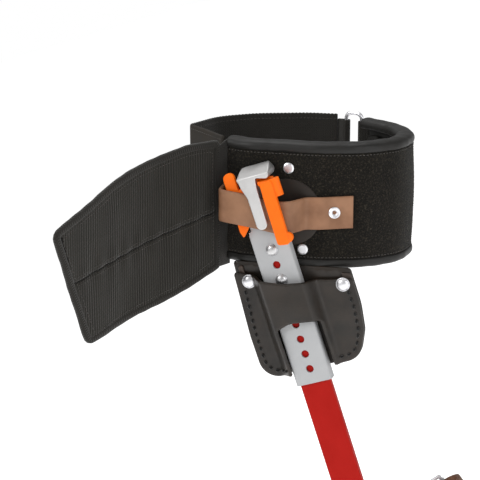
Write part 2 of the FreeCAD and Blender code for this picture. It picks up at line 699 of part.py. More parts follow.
def make_ankle_strap():
    half = dim("ankle_thick") / 2
    width = dim("ankle_width")
    strap = Piece("ankle_strap", ANKLE_FRAME)
    strap.pad("XY_Plane", [ribbon(ANKLE_ROUTE, ANKLE_TURNS, -half, half)], -width / 2, "dims.ankle_width")
    slot = box_outline(24, -2.8, 56.5, 2.8, 2.7)
    strap.pocket("XZ_Plane", [slot], offset=-46.2, length=20, reverse=True)


def make_ankle_chape():
    """Short leather fold that holds the buckle's heel bar to the strap's fixed end."""
    x, y = HEEL_BAR
    wire = dim("buckle_wire")
    chape = Piece("ankle_chape", ANKLE_FRAME)
    inner = wire + 0.3
    base = ANKLE_SIDE + dim("ankle_thick") / 2 + GAP
    outline = rounded([(x - 12, base), (x + 2.0, base), (x + inner + 1.6, y), (x + 1.0, y + inner + 0.6),
                       (x - 4.0, y + inner + 0.4), (x - 12, base + 3.0)], [0.3, 2.0, 2.0, 1.5, 3, 0.3])
    chape.pad("XY_Plane", [outline, circle(x, y, inner)], -dim("ankle_width") / 2 + 0.5, 19.0)
    notch = box_outline(x - 6, -3.4, x + 6, 3.4)
    chape.pocket("XZ_Plane", [notch])


def make_buckle():
    wire = dim("buckle_wire")
    half_tall = 13.4
    bars = []
    corners = [(*HEEL_BAR, -half_tall), (*ROLLER_BAR, -half_tall), (*ROLLER_BAR, half_tall),
               (*HEEL_BAR, half_tall)]
    for start, end in zip(corners, corners[1:] + corners[:1]):
        first, last = Vector(*start), Vector(*end)
        turn = Rotation(Vector(0, 0, 1), last - first)
        bar = primitive("Cylinder", Placement(first, turn), Radius="dims.buckle_wire",
                        Height=(last - first).Length)
        bars += [bar, primitive("Sphere", Placement(first, Rotation()), Radius="dims.buckle_wire")]
    joined("ankle_buckle_frame", bars, ANKLE_FRAME)
    roller = Piece("ankle_buckle_roller", ANKLE_FRAME)
    ring = [circle(*ROLLER_BAR, dim("roller_radius")), circle(*ROLLER_BAR, wire + 0.06)]
    roller.pad("XY_Plane", ring, -10.5, 21.0)
    prong = Piece("ankle_buckle_prong", ANKLE_FRAME)
    x, y = HEEL_BAR
    eye = [circle(x, y, wire + 1.4), circle(x, y, wire + 0.06)]
    prong.pad("XY_Plane", eye, -1.3, 2.6)
    tip = ROLLER_BAR[0] + 3.0
    top = ROLLER_BAR[1] + dim("roller_radius") + 0.3
    spine = [(x + 2.2, y - 1.0), (x + 8.0, y - 0.4), (tip - 6.0, top), (tip, top), (tip, top + 1.6),
             (tip - 7.0, top + 2.2), (x + 7.0, y + 2.2), (x + 1.9, y + 1.6)]
    prong.pad("XY_Plane", [rounded(spine, [0, 5, 5, 0.4, 0.7, 6, 6, 0])], -1.3, 2.6)


def make_ankle_keeper():
    """Leather keeper round the strap and its free end."""
    keeper = Piece("ankle_keeper", ANKLE_FRAME)
    half = dim("ankle_width") / 2
    low, high = ANKLE_SIDE - dim("ankle_thick") / 2 - 0.15, ANKLE_TAIL + dim("ankle_thick") / 2 + 0.15
    window = box_outline(low, -half - 0.2, high, half + 0.2, 0.5)
    outside = box_outline(low - 1.6, -half - 1.8, high + 1.6, half + 1.8, 2.0)
    keeper.pad("YZ_Plane", [outside, window], 18.6, 3.2)


def make_strap_loops():
    """Two sheet brackets that carry the ankle strap against the shank and the outer end."""
    loops = []
    rivets = []
    for side in (-1, 1):
        plate = side * (INNER - 0.05)
        inward = -side
        leg = dim("ankle_width") / 2 + 0.8
        crown = 4.3
        sheet_half = 0.8
        route = [(-18.6, sheet_half), (-leg - sheet_half, sheet_half), (-leg - sheet_half, crown + sheet_half),
                 (leg + sheet_half, crown + sheet_half), (leg + sheet_half, sheet_half), (18.6, sheet_half)]
        face = Part.Face(Part.Wire(Part.__sortEdges__(
            [g.toShape() for g in ribbon(route, [0.9, 0.9, 0.9, 0.9], -sheet_half, sheet_half)])))
        solid = face.extrude(Vector(0, 0, 9.0))
        solid.translate(Vector(0, 0, -4.5))
        # Sketch x runs up the bar and sketch y runs inward from the plate.
        axes = Placement(Vector(0, plate, 0), Rotation(Vector(0, 0, 1), Vector(0, inward, 0), Vector(1, 0, 0), "XYZ"))
        loops.append(solid.transformed(axes.toMatrix()))
        for level in (-15.4, 15.4):
            turn = TOWARDS_LEG if side < 0 else TOWARDS_FRONT
            profile = [(0, 1.65), (1.7, 1.65), (1.7, 1.66), (2.6, 1.66), (2.2, 2.7), (0, 2.9)]
            rivets.append(lathe(profile, (0, plate, level), turn))
    part_feature("ankle_strap_loops", Part.makeCompound(loops), ANKLE_FRAME)
    part_feature("loop_rivets", Part.makeCompound(rivets), ANKLE_FRAME)


# ---------------------------------------------------------------- build, check, write


def make_all():
    make_leg_iron()
    make_gaff()
    make_gaff_screws()
    make_adjuster_screws()
    make_sleeve()
    make_strap_hook()
    make_strap_guard()
    make_hook_pin()
    make_cuff()
    make_wear_disc()
    make_pad_rivets()
    make_retaining_strap()
    make_strap_rivet()
    make_closure_side()
    make_flap()
    make_boot()
    make_ankle_strap()
    make_ankle_chape()
    make_buckle()
    make_ankle_keeper()
    make_strap_loops()
    doc.recompute()


def check_and_write():
    failed = [item.Label for item in doc.Objects if "Invalid" in item.State or "Error" in item.State]
    if failed:
        raise RuntimeError(f"failed objects: {failed}")
    for item in parts:
        if item.Shape.isNull() or not item.Shape.isValid() or not item.Shape.Solids:
            raise RuntimeError(f"{item.Label} has no valid solid")
    os.makedirs("parts", exist_ok=True)
    for item in parts:
        item.Shape.exportStep(f"parts/{item.Label}.step")
        print(f"{item.Label:22s} solids {len(item.Shape.Solids)}  volume {item.Shape.Volume:10.1f}")


make_all()
check_and_write()
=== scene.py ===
"""Tree climbing spur for one leg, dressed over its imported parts.

Lengths in the piece functions are millimetres in the frame of the part they belong to:
the sleeve's, the cuff's or the closure flap's. Finished meshes are in metres.
"""

import math

import bmesh
import bpy
import numpy as np
from mathutils import Matrix, Vector, noise
from mathutils.geometry import delaunay_2d_cdt


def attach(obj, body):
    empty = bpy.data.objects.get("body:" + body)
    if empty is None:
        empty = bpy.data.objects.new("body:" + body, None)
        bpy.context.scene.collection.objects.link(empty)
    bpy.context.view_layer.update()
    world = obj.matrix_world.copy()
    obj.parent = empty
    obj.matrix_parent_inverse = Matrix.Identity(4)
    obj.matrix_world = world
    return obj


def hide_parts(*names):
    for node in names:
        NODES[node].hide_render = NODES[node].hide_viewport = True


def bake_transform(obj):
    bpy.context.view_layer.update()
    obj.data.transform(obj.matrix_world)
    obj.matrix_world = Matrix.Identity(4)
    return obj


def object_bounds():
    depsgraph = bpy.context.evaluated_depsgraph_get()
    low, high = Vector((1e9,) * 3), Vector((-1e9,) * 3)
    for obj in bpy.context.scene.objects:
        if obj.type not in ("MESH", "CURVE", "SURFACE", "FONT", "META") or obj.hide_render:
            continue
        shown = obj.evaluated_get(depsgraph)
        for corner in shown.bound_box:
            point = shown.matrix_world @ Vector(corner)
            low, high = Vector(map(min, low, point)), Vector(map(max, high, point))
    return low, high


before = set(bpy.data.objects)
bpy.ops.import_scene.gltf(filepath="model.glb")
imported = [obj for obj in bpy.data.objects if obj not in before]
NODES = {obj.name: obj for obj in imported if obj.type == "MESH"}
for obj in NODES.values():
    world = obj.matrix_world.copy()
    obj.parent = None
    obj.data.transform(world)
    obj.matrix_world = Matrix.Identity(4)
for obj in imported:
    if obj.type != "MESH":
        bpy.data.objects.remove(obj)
cad_box = [list(corner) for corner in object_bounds()]

MM = 0.001
scene = bpy.context.scene


# ---------------------------------------------------------------- frames of the object


def shifted_to(x, y, z):
    return Matrix.Translation((x * MM, y * MM, z * MM))


def turned(degrees, axis):
    return Matrix.Rotation(math.radians(degrees), 4, axis)


LEAN = 18.25
SLEEVE = shifted_to(0, -54.5, 360)
CUFF = SLEEVE @ turned(LEAN, "Y")
FLAP = CUFF @ shifted_to(-34, 19, 0) @ turned(-120, "Z")


# ---------------------------------------------------------------- routes, outlines and meshes


def linked(name, data):
    """A new object in the scene."""
    obj = bpy.data.objects.new(name, data)
    scene.collection.objects.link(obj)
    return obj


def in_metres(place, points):
    """Points in a part's frame, in millimetres, as places in the scene."""
    return [place @ Vector((x * MM, y * MM, z * MM)) for x, y, z in points]


def arc_run(corners, turns):
    """Points along straight runs whose corners are rounded by the given radii."""
    corners = [np.array(c, float) for c in corners]
    found = [corners[0]]
    for a, b, c, radius in zip(corners, corners[1:], corners[2:], turns):
        u, v = (b - a) / np.linalg.norm(b - a), (c - b) / np.linalg.norm(c - b)
        sweep = math.atan2(u[0] * v[1] - u[1] * v[0], u @ v)
        start = b - u * radius * math.tan(abs(sweep) / 2)
        centre = start + np.array((-u[1], u[0])) * radius * math.copysign(1, sweep)
        steps = max(1, round(abs(sweep) / math.radians(6)))
        for k in range(steps + 1):
            turn = sweep * k / steps
            arm = start - centre
            found.append(centre + (arm[0] * math.cos(turn) - arm[1] * math.sin(turn),
                                   arm[0] * math.sin(turn) + arm[1] * math.cos(turn)))
    found.append(corners[-1])
    kept = [found[0]]
    for p in found[1:]:
        if np.linalg.norm(p - kept[-1]) > 1e-4:
            kept.append(p)
    return np.array(kept)


class Route:
    """A path with rounded corners, read by the distance along it."""

    def __init__(self, corners, turns):
        self.line = arc_run(corners, turns)
        steps = np.linalg.norm(np.diff(self.line, axis=0), axis=1)
        self.marks = np.concatenate([[0.0], np.cumsum(steps)])
        self.length = float(self.marks[-1])

    def spot(self, s):
        s = min(max(s, 0.0), self.length)
        return np.array([np.interp(s, self.marks, self.line[:, i]) for i in (0, 1)])

    def at(self, s):
        """Place and left-hand direction at distance s."""
        reach = 0.8
        along = self.spot(s + reach) - self.spot(s - reach)
        along /= np.linalg.norm(along)
        return self.spot(s), np.array((-along[1], along[0]))

    def stations(self, step, start=0.0, end=None):
        end = self.length if end is None else end
        return np.linspace(start, end, max(2, round((end - start) / step) + 1))


def closed_outline(corners, radii, spacing):
    """Even points round a closed outline with rounded corners."""
    middle = (np.array(corners[0], float) + np.array(corners[-1], float)) / 2
    path = Route([middle, *corners, middle], radii)
    marks = path.stations(spacing)[:-1]
    return np.array([path.spot(s) for s in marks])


def inside(points, outline):
    """Which points lie inside a closed outline."""
    hits = np.zeros(len(points), bool)
    for (x0, y0), (x1, y1) in zip(outline, np.roll(outline, -1, axis=0)):
        if y0 == y1:
            continue
        crosses = (y0 > points[:, 1]) != (y1 > points[:, 1])
        level = x0 + (points[:, 1] - y0) * (x1 - x0) / (y1 - y0)
        hits ^= crosses & (points[:, 0] < level)
    return hits


def cut_sheet(outline, spacing, holes=()):
    """Flat triangles that fill an outline: its edge points and an even field inside."""
    low, high = outline.min(0), outline.max(0)
    xs = np.arange(low[0], high[0], spacing)
    ys = np.arange(low[1], high[1], spacing * 0.87)
    field = np.array([(x + (spacing / 2 if j % 2 else 0), y) for j, y in enumerate(ys) for x in xs])
    field = field[inside(field, outline)]
    rim = np.concatenate([outline, *holes]) if len(holes) else outline
    for hole in holes:
        field = field[~inside(field, hole)]
    near = np.array([np.min(np.sum((rim - p) ** 2, axis=1)) for p in field])
    field = field[near > (0.55 * spacing) ** 2]
    loops, count = [], 0
    for ring in (outline, *holes):
        loops += [(count + i, count + (i + 1) % len(ring)) for i in range(len(ring))]
        count += len(ring)
    points = [Vector(p) for p in np.concatenate([rim, field])]
    verts, _, faces, *_ = delaunay_2d_cdt(points, loops, [], 0, 1e-6)
    verts = np.array([tuple(v) for v in verts])
    centres = np.array([verts[list(f)].mean(0) for f in faces])
    keep = inside(centres, outline)
    for hole in holes:
        keep &= ~inside(centres, hole)
    sides = np.array([(verts[b] - verts[a], verts[c] - verts[a]) for a, b, c in faces])
    keep &= np.abs(sides[:, 0, 0] * sides[:, 1, 1] - sides[:, 0, 1] * sides[:, 1, 0]) > 0.04 * spacing ** 2
    return verts, [tuple(f) for f, k in zip(faces, keep) if k]


def made(name, points, faces, place, uvs=None):
    """A smooth mesh object in metres from points in a part's frame, normals outwards."""
    mesh = bpy.data.meshes.new(name)
    mesh.from_pydata(in_metres(place, points), [], faces)
    if uvs is not None:
        layer = mesh.uv_layers.new(name="UVMap")
        flat = np.array([uvs[loop.vertex_index] for loop in mesh.loops], float) * MM
        layer.data.foreach_set("uv", flat.ravel())
    obj = linked(name, mesh)
    outward(obj)
    return obj


def outward(obj):
    bm = bmesh.new()
    bm.from_mesh(obj.data)
    bmesh.ops.recalc_face_normals(bm, faces=bm.faces)
    for face in bm.faces:
        face.smooth = True
    bm.to_mesh(obj.data)
    bm.free()


def swept(name, route, marks, section, place, level_axis=True):
    """A closed section of (depth left of the route, level) points carried along the route."""
    points, uvs, faces = [], [], []
    for s in marks:
        spot, left = route.at(s)
        ring = section(s)
        around = 0.0
        for i, (depth, level) in enumerate(ring):
            flat = spot + left * depth
            points.append((flat[0], flat[1], level) if level_axis else (flat[0], level, flat[1]))
            if i:
                around += math.dist(ring[i - 1], (depth, level))
            uvs.append((s, around))
    n = len(section(marks[0]))
    for i in range(len(marks) - 1):
        for j in range(n):
            k = (j + 1) % n
            faces.append((i * n + j, i * n + k, (i + 1) * n + k, (i + 1) * n + j))
    faces.append(tuple(range(n)))
    faces.append(tuple(reversed(range((len(marks) - 1) * n, len(marks) * n))))
    return made(name, points, faces, place, uvs)


def slab(near, far, low, high, rows=12, soft=None, belly=0.0):
    """Section of a strip between two depths, with rounded edges and a belly on the near side."""
    half, middle = (far - near) / 2, (far + near) / 2
    soft = half if soft is None else soft
    turn = 5
    rise = [low + soft + (high - low - 2 * soft) * i / rows for i in range(rows + 1)]
    swell = [belly * math.sin(math.pi * i / rows) for i in range(rows + 1)]
    ring = [(near - w, z) for z, w in zip(rise, swell)]
    for k in range(1, turn):
        a = math.pi * k / turn
        ring.append((middle - half * math.cos(a), high - soft + soft * math.sin(a)))
    ring += [(far, z) for z in reversed(rise)]
    for k in range(1, turn):
        a = math.pi * k / turn
        ring.append((middle + half * math.cos(a), low + soft - soft * math.sin(a)))
    return ring


def bake_modifiers(obj):
    """Turn the piece with its modifiers into a plain mesh."""
    graph = bpy.context.evaluated_depsgraph_get()
    mesh = bpy.data.meshes.new_from_object(obj.evaluated_get(graph))
    obj.modifiers.clear()
    obj.data = mesh
    for polygon in mesh.polygons:
        polygon.use_smooth = True
    return obj


def thickened(obj, thick, bulge=0.5):
    """Close a cut sheet: the same face again behind it, and a rounded wall round its rim."""
    sheet = obj.data
    kept = sorted({i for polygon in sheet.polygons for i in polygon.vertices})
    number = {old: new for new, old in enumerate(kept)}
    count = len(kept)
    spots = [sheet.vertices[i].co.copy() for i in kept]
    facing = [sheet.vertices[i].normal.copy() for i in kept]
    faces = [tuple(number[i] for i in polygon.vertices) for polygon in sheet.polygons]
    edges = {edge for face in faces for edge in zip(face, face[1:] + face[:1])}
    rim = [(a, b) for a, b in edges if (b, a) not in edges]
    away = {}
    for a, b in rim:
        for i in (a, b):
            away[i] = away.get(i, Vector()) + (spots[b] - spots[a]).cross(facing[i])
    source = list(range(count)) * 2
    points = spots + [spot - way * thick * MM for spot, way in zip(spots, facing)]
    rings = [{i: i for i in away}]
    for share in (0.15, 0.5, 0.85):
        ring = {}
        for i, out in away.items():
            ring[i] = len(points)
            points.append(spots[i] - facing[i] * thick * MM * share
                          + out.normalized() * bulge * MM * math.sin(math.pi * share))
            source.append(i)
        rings.append(ring)
    rings.append({i: i + count for i in away})
    shell = faces + [tuple(i + count for i in reversed(face)) for face in faces]
    for near, far in zip(rings, rings[1:]):
        shell += [(near[b], near[a], far[a], far[b]) for a, b in rim]
    mesh = bpy.data.meshes.new(obj.name)
    mesh.from_pydata(points, [], shell)
    if sheet.uv_layers:
        flat = {number[loop.vertex_index]: sheet.uv_layers[0].uv[loop.index].vector.copy()
                for loop in sheet.loops}
        layer = mesh.uv_layers.new(name="UVMap")
        layer.data.foreach_set("uv", [c for loop in mesh.loops for c in flat[source[loop.vertex_index]]])
    obj.data = mesh
    outward(obj)
    return obj


def softened(node, name, voxel, passes):
    """A copy of a hard-edged part, remeshed and smoothed so that its edges are rolled over."""
    mesh = NODES[node].data.copy()
    obj = linked(name, mesh)
    bm = bmesh.new()
    bm.from_mesh(mesh)
    bmesh.ops.remove_doubles(bm, verts=bm.verts, dist=1e-6)
    bmesh.ops.recalc_face_normals(bm, faces=bm.faces)
    bm.to_mesh(mesh)
    bm.free()
    even = obj.modifiers.new("even", "REMESH")
    even.mode = "VOXEL"
    even.voxel_size = voxel * MM
    rolled = obj.modifiers.new("rolled", "SMOOTH")
    rolled.iterations = passes
    rolled.factor = 0.5
    bake_modifiers(obj)
    return obj


def puffed(obj, voxel, pressure, cap):
    """Blow a closed piece up like stuffed cloth, no point further than cap from where it was."""
    even = obj.modifiers.new("even", "REMESH")
    even.mode = "VOXEL"
    even.voxel_size = voxel * MM
    bake_modifiers(obj)
    count = len(obj.data.vertices)
    start = np.zeros(count * 3)
    obj.data.vertices.foreach_get("co", start)
    cloth = obj.modifiers.new("cloth", "CLOTH")
    cloth.settings.use_pressure = True
    cloth.settings.uniform_pressure_force = pressure
    cloth.settings.effector_weights.gravity = 0
    for number in range(1, 21):
        scene.frame_set(number)
    graph = bpy.context.evaluated_depsgraph_get()
    end = np.zeros(count * 3)
    obj.evaluated_get(graph).data.vertices.foreach_get("co", end)
    obj.modifiers.clear()
    scene.frame_set(1)
    move = (end - start).reshape(-1, 3)
    far = np.linalg.norm(move, axis=1, keepdims=True)
    move *= np.minimum(1.0, cap * MM / np.maximum(far, 1e-9))
    obj.data.vertices.foreach_set("co", (start.reshape(-1, 3) + move).ravel())
    obj.data.update()
    finer = obj.modifiers.new("finer", "SUBSURF")
    finer.levels = finer.render_levels = 1
    bake_modifiers(obj)
    return obj


# ---------------------------------------------------------------- shader node groups


def tint(red, green, blue):
    """Linear colour from 0-255 paint-chart values."""
    steps = [c / 255 for c in (red, green, blue)]
    return tuple(c / 12.92 if c <= 0.04045 else ((c + 0.055) / 1.055) ** 2.4 for c in steps)


def new_group(name, inputs, outputs):
    group = bpy.data.node_groups.new(name, "ShaderNodeTree")
    for label, kind, value in inputs:
        socket = group.interface.new_socket(label, in_out="INPUT", socket_type=kind)
        if value is not None:
            socket.default_value = value
    for label, kind in outputs:
        group.interface.new_socket(label, in_out="OUTPUT", socket_type=kind)
    entry = group.nodes.new("NodeGroupInput")
    leave = group.nodes.new("NodeGroupOutput")
    return group, entry, leave


def feed(tree, target, value):
    """Link a socket to an input, or set the input to a plain value."""
    if isinstance(value, bpy.types.NodeSocket):
        tree.links.new(value, target)
    else:
        target.default_value = value


def calc(tree, operation, a, b=0.0, c=None, clamp=False):
    node = tree.nodes.new("ShaderNodeMath")
    node.operation = operation
    node.use_clamp = clamp
    feed(tree, node.inputs[0], a)
    feed(tree, node.inputs[1], b)
    if c is not None:
        feed(tree, node.inputs[2], c)
    return node.outputs[0]


def noise_field(tree, vector, scale, detail=3.0, rough=0.6):
    node = tree.nodes.new("ShaderNodeTexNoise")
    feed(tree, node.inputs["Vector"], vector)
    feed(tree, node.inputs["Scale"], scale)
    node.inputs["Detail"].default_value = detail
    node.inputs["Roughness"].default_value = rough
    return node.outputs["Fac"]


def cell_field(tree, vector, scale, feature="F1"):
    node = tree.nodes.new("ShaderNodeTexVoronoi")
    node.feature = feature
    feed(tree, node.inputs["Vector"], vector)
    feed(tree, node.inputs["Scale"], scale)
    return node.outputs["Distance"]


def spread(tree, value, low, high, to_low=0.0, to_high=1.0):
    node = tree.nodes.new("ShaderNodeMapRange")
    feed(tree, node.inputs["Value"], value)
    for socket, number in (("From Min", low), ("From Max", high), ("To Min", to_low), ("To Max", to_high)):
        feed(tree, node.inputs[socket], number)
    return node.outputs["Result"]


def grain_group():
    """Leather: small closed cells with fine wrinkles, and a slow change of tone."""
    group, entry, leave = new_group(
        "leather_grain",
        [("Vector", "NodeSocketVector", None), ("Cell Scale", "NodeSocketFloat", 900.0),
         ("Wrinkle Scale", "NodeSocketFloat", 120.0)],
        [("Height", "NodeSocketFloat"), ("Tone", "NodeSocketFloat")])
    vector = entry.outputs["Vector"]
    cells = spread(group, cell_field(group, vector, entry.outputs["Cell Scale"]), 0.0, 0.8, 1.0, 0.0)
    wrinkle = noise_field(group, vector, entry.outputs["Wrinkle Scale"], 4.0)
    group.links.new(calc(group, "MULTIPLY_ADD", wrinkle, 0.8, cells), leave.inputs["Height"])
    tone = noise_field(group, vector, 45.0, 3.0)
    group.links.new(spread(group, tone, 0.35, 0.65), leave.inputs["Tone"])
    return group


def wear_group():
    """Use: scattered chips, soft scuffs and a fine grain in the height on a hard finish."""
    group, entry, leave = new_group(
        "wear",
        [("Vector", "NodeSocketVector", None), ("Chip Share", "NodeSocketFloat", 0.1),
         ("Chip Scale", "NodeSocketFloat", 160.0)],
        [("Chips", "NodeSocketFloat"), ("Scuff", "NodeSocketFloat"), ("Height", "NodeSocketFloat")])
    vector = entry.outputs["Vector"]
    field = noise_field(group, vector, entry.outputs["Chip Scale"], 5.0, 0.7)
    edge = calc(group, "SUBTRACT", 0.78, entry.outputs["Chip Share"])
    chips = spread(group, field, edge, calc(group, "ADD", edge, 0.03))
    scuff = spread(group, noise_field(group, vector, 38.0, 5.0, 0.65), 0.38, 0.7)
    fine = noise_field(group, vector, 2200.0, 2.0)
    group.links.new(chips, leave.inputs["Chips"])
    group.links.new(scuff, leave.inputs["Scuff"])
    group.links.new(calc(group, "MULTIPLY_ADD", chips, -0.6, fine), leave.inputs["Height"])
    return group


def weave_group():
    """Cloth: threads across and along the piece's own UV map, in metres."""
    group, entry, leave = new_group(
        "weave",
        [("UV", "NodeSocketVector", None), ("Across", "NodeSocketFloat", 900.0),
         ("Along", "NodeSocketFloat", 900.0), ("Rib", "NodeSocketFloat", 0.5)],
        [("Height", "NodeSocketFloat"), ("Tone", "NodeSocketFloat")])
    split = group.nodes.new("ShaderNodeSeparateXYZ")
    group.links.new(entry.outputs["UV"], split.inputs[0])
    warp = calc(group, "SINE", calc(group, "MULTIPLY", split.outputs["X"],
                                    calc(group, "MULTIPLY", entry.outputs["Across"], math.tau)))
    weft = calc(group, "SINE", calc(group, "MULTIPLY", split.outputs["Y"],
                                    calc(group, "MULTIPLY", entry.outputs["Along"], math.tau)))
    crossed = calc(group, "MULTIPLY", warp, weft)
    ribbed = calc(group, "MULTIPLY_ADD", warp, entry.outputs["Rib"], crossed)
    fluff = noise_field(group, entry.outputs["UV"], 1500.0, 2.0)
    group.links.new(calc(group, "ADD", ribbed, fluff), leave.inputs["Height"])
    group.links.new(spread(group, ribbed, -1.2, 1.4), leave.inputs["Tone"])
    return group


def pile_group():
    """Napped loops: fine fuzzy speckle with slow patches of a lighter tone."""
    group, entry, leave = new_group(
        "pile",
        [("Vector", "NodeSocketVector", None), ("Loop Scale", "NodeSocketFloat", 1400.0)],
        [("Height", "NodeSocketFloat"), ("Speckle", "NodeSocketFloat"), ("Patch", "NodeSocketFloat")])
    vector = entry.outputs["Vector"]
    loops = cell_field(group, vector, entry.outputs["Loop Scale"])
    fuzz = noise_field(group, vector, 700.0, 5.0, 0.75)
    height = calc(group, "MULTIPLY_ADD", fuzz, 1.6, loops)
    group.links.new(height, leave.inputs["Height"])
    group.links.new(spread(group, fuzz, 0.52, 0.72), leave.inputs["Speckle"])
    group.links.new(spread(group, noise_field(group, vector, 60.0, 4.0), 0.35, 0.7), leave.inputs["Patch"])
    return group


GRAIN, WEAR, WEAVE, PILE = grain_group(), wear_group(), weave_group(), pile_group()


# ---------------------------------------------------------------- finishes


class Finish:
    """One material: its shader, the coordinates it reads and short calls for what feeds it."""

    def __init__(self, name, colour, rough, **sockets):
        self.material = bpy.data.materials.new(name)
        self.material.use_nodes = True
        self.tree = self.material.node_tree
        self.shader = self.tree.nodes["Principled BSDF"]
        self.shader.inputs["Base Color"].default_value = (*colour, 1)
        self.shader.inputs["Roughness"].default_value = rough
        self.colour = colour
        for label, value in sockets.items():
            self.shader.inputs[label.replace("_", " ")].default_value = value
        self.coordinates = self.tree.nodes.new("ShaderNodeTexCoord")

    def effect(self, group, source="Object", **values):
        node = self.tree.nodes.new("ShaderNodeGroup")
        node.node_tree = group
        self.tree.links.new(self.coordinates.outputs[source], node.inputs[0])
        for label, value in values.items():
            node.inputs[label.replace("_", " ")].default_value = value
        return node.outputs

    def blend(self, mask, other, start=None):
        """Base colour goes from what it is now to the other colour where the mask is up."""
        mix = self.tree.nodes.new("ShaderNodeMix")
        mix.data_type = "RGBA"
        self.tree.links.new(mask, mix.inputs["Factor"])
        feed(self.tree, mix.inputs[6], (*self.colour, 1) if start is None else start)
        mix.inputs[7].default_value = (*other, 1)
        self.tree.links.new(mix.outputs[2], self.shader.inputs["Base Color"])
        return mix.outputs[2]

    def rough_from(self, mask, low, high):
        self.tree.links.new(spread(self.tree, mask, 0.0, 1.0, low, high), self.shader.inputs["Roughness"])

    def metal_from(self, mask):
        self.tree.links.new(mask, self.shader.inputs["Metallic"])

    def bump(self, height, strength, distance):
        node = self.tree.nodes.new("ShaderNodeBump")
        node.inputs["Strength"].default_value = strength
        node.inputs["Distance"].default_value = distance * MM
        self.tree.links.new(height, node.inputs["Height"])
        self.tree.links.new(node.outputs["Normal"], self.shader.inputs["Normal"])


def painted(name, colour, bare, rough, share, scale, worn):
    """Painted metal: chipped to the bare metal, scuffed lighter or darker elsewhere."""
    finish = Finish(name, colour, rough, Specular_IOR_Level=0.15)
    wear = finish.effect(WEAR, Chip_Share=share, Chip_Scale=scale)
    scuffed = finish.blend(calc(finish.tree, "MULTIPLY", wear["Scuff"], 0.35), worn)
    finish.blend(wear["Chips"], bare, scuffed)
    finish.metal_from(wear["Chips"])
    finish.rough_from(wear["Scuff"], rough, rough + 0.18)
    finish.bump(wear["Height"], 0.25, 0.05)
    return finish.material


def metal(name, colour, rough, worn, bump=0.2, **sockets):
    """Bare or plated metal with handling marks."""
    finish = Finish(name, colour, rough, Metallic=1.0, **sockets)
    wear = finish.effect(WEAR, Chip_Share=0.12, Chip_Scale=300.0)
    finish.blend(calc(finish.tree, "MULTIPLY", wear["Scuff"], 0.5), worn)
    finish.rough_from(wear["Scuff"], rough, rough + 0.2)
    finish.bump(wear["Height"], bump, 0.04)
    return finish.material


def leather(name, colour, other, rough, cells=900.0, wrinkles=120.0, depth=0.12, gloss=0.0, spread_by=0.15):
    finish = Finish(name, colour, rough, Specular_IOR_Level=0.35, Coat_Roughness=0.3)
    finish.shader.inputs["Coat Weight"].default_value = gloss
    grain = finish.effect(GRAIN, Cell_Scale=cells, Wrinkle_Scale=wrinkles)
    finish.blend(grain["Tone"], other)
    finish.rough_from(grain["Tone"], rough, rough + spread_by)
    finish.bump(grain["Height"], 0.35, depth)
    return finish.material


def cloth(name, colour, other, across, along, rib, depth, sheen=0.2):
    finish = Finish(name, colour, 0.85, Specular_IOR_Level=0.25, Sheen_Weight=sheen, Sheen_Roughness=0.5)
    weave = finish.effect(WEAVE, "UV", Across=across, Along=along, Rib=rib)
    finish.blend(weave["Tone"], other)
    finish.rough_from(weave["Tone"], 0.9, 0.72)
    finish.bump(weave["Height"], 0.5, depth)
    return finish.material


def pile_finish():
    finish = Finish("napped_loops", tint(9, 7, 4), 0.95, Specular_IOR_Level=0.12,
                    Sheen_Weight=0.06, Sheen_Roughness=0.6)
    pile = finish.effect(PILE, Loop_Scale=1300.0)
    patchy = finish.blend(pile["Patch"], tint(17, 14, 9))
    finish.blend(pile["Speckle"], tint(64, 58, 47), patchy)
    finish.bump(pile["Height"], 0.7, 0.5)
    return finish.material


def moulded(name, colour, worn, rough):
    finish = Finish(name, colour, rough, Specular_IOR_Level=0.2)
    wear = finish.effect(WEAR, Chip_Share=0.08, Chip_Scale=240.0)
    finish.blend(calc(finish.tree, "MULTIPLY", wear["Scuff"], 0.6), worn)
    finish.rough_from(wear["Scuff"], rough, rough + 0.2)
    finish.bump(wear["Height"], 0.2, 0.05)
    return finish.material


RED_PAINT = painted("red_bar_paint", tint(160, 10, 0), tint(112, 104, 98), 0.5, 0.05, 120.0, tint(136, 12, 2))
GREY_PAINT = painted("grey_sleeve_paint", tint(170, 171, 172), tint(124, 124, 126), 0.5, 0.02, 150.0,
                     tint(154, 155, 157))
DARK_STEEL = metal("forged_gaff_steel", tint(88, 88, 92), 0.38, tint(58, 56, 56), 0.4)
ZINC = metal("zinc_plating", tint(205, 205, 208), 0.28, tint(170, 168, 160))
NICKEL = metal("nickel_rivets", tint(224, 224, 228), 0.3, tint(196, 194, 192))
CAST = metal("cast_hook_metal", tint(200, 199, 198), 0.46, tint(178, 177, 176), 0.3)
PLATE = metal("stiffener_metal", tint(170, 170, 174), 0.4, tint(140, 140, 144))
ORANGE = moulded("orange_guard_plastic", tint(234, 98, 0), tint(238, 114, 6), 0.36)
DISC_BLACK = moulded("smooth_wear_plastic", tint(42, 37, 33), tint(52, 46, 41), 0.45)
BOOT_LEATHER = leather("boot_leather", tint(34, 25, 16), tint(22, 17, 11), 0.34, 700.0, 90.0, 0.1, 0.15)
WELT_LEATHER = leather("welt_leather", tint(74, 62, 54), tint(52, 44, 40), 0.5)
SIDE_LEATHER = leather("side_panel_leather", tint(17, 13, 8), tint(34, 28, 19), 0.6)
BINDING = leather("binding_leather", tint(9, 8, 5), tint(15, 12, 8), 0.5, 800.0, 60.0, 0.15, 0.05)
STRAP_BROWN = leather("strap_leather", tint(140, 101, 74), tint(118, 82, 58), 0.5, 1100.0, 150.0, 0.08)
ANKLE_BROWN = leather("ankle_leather", tint(108, 72, 50), tint(84, 54, 38), 0.5, 900.0, 110.0, 0.1)
LINING = leather("cuff_lining", tint(17, 14, 9), tint(11, 9, 5), 0.66, 600.0, 80.0, 0.12)
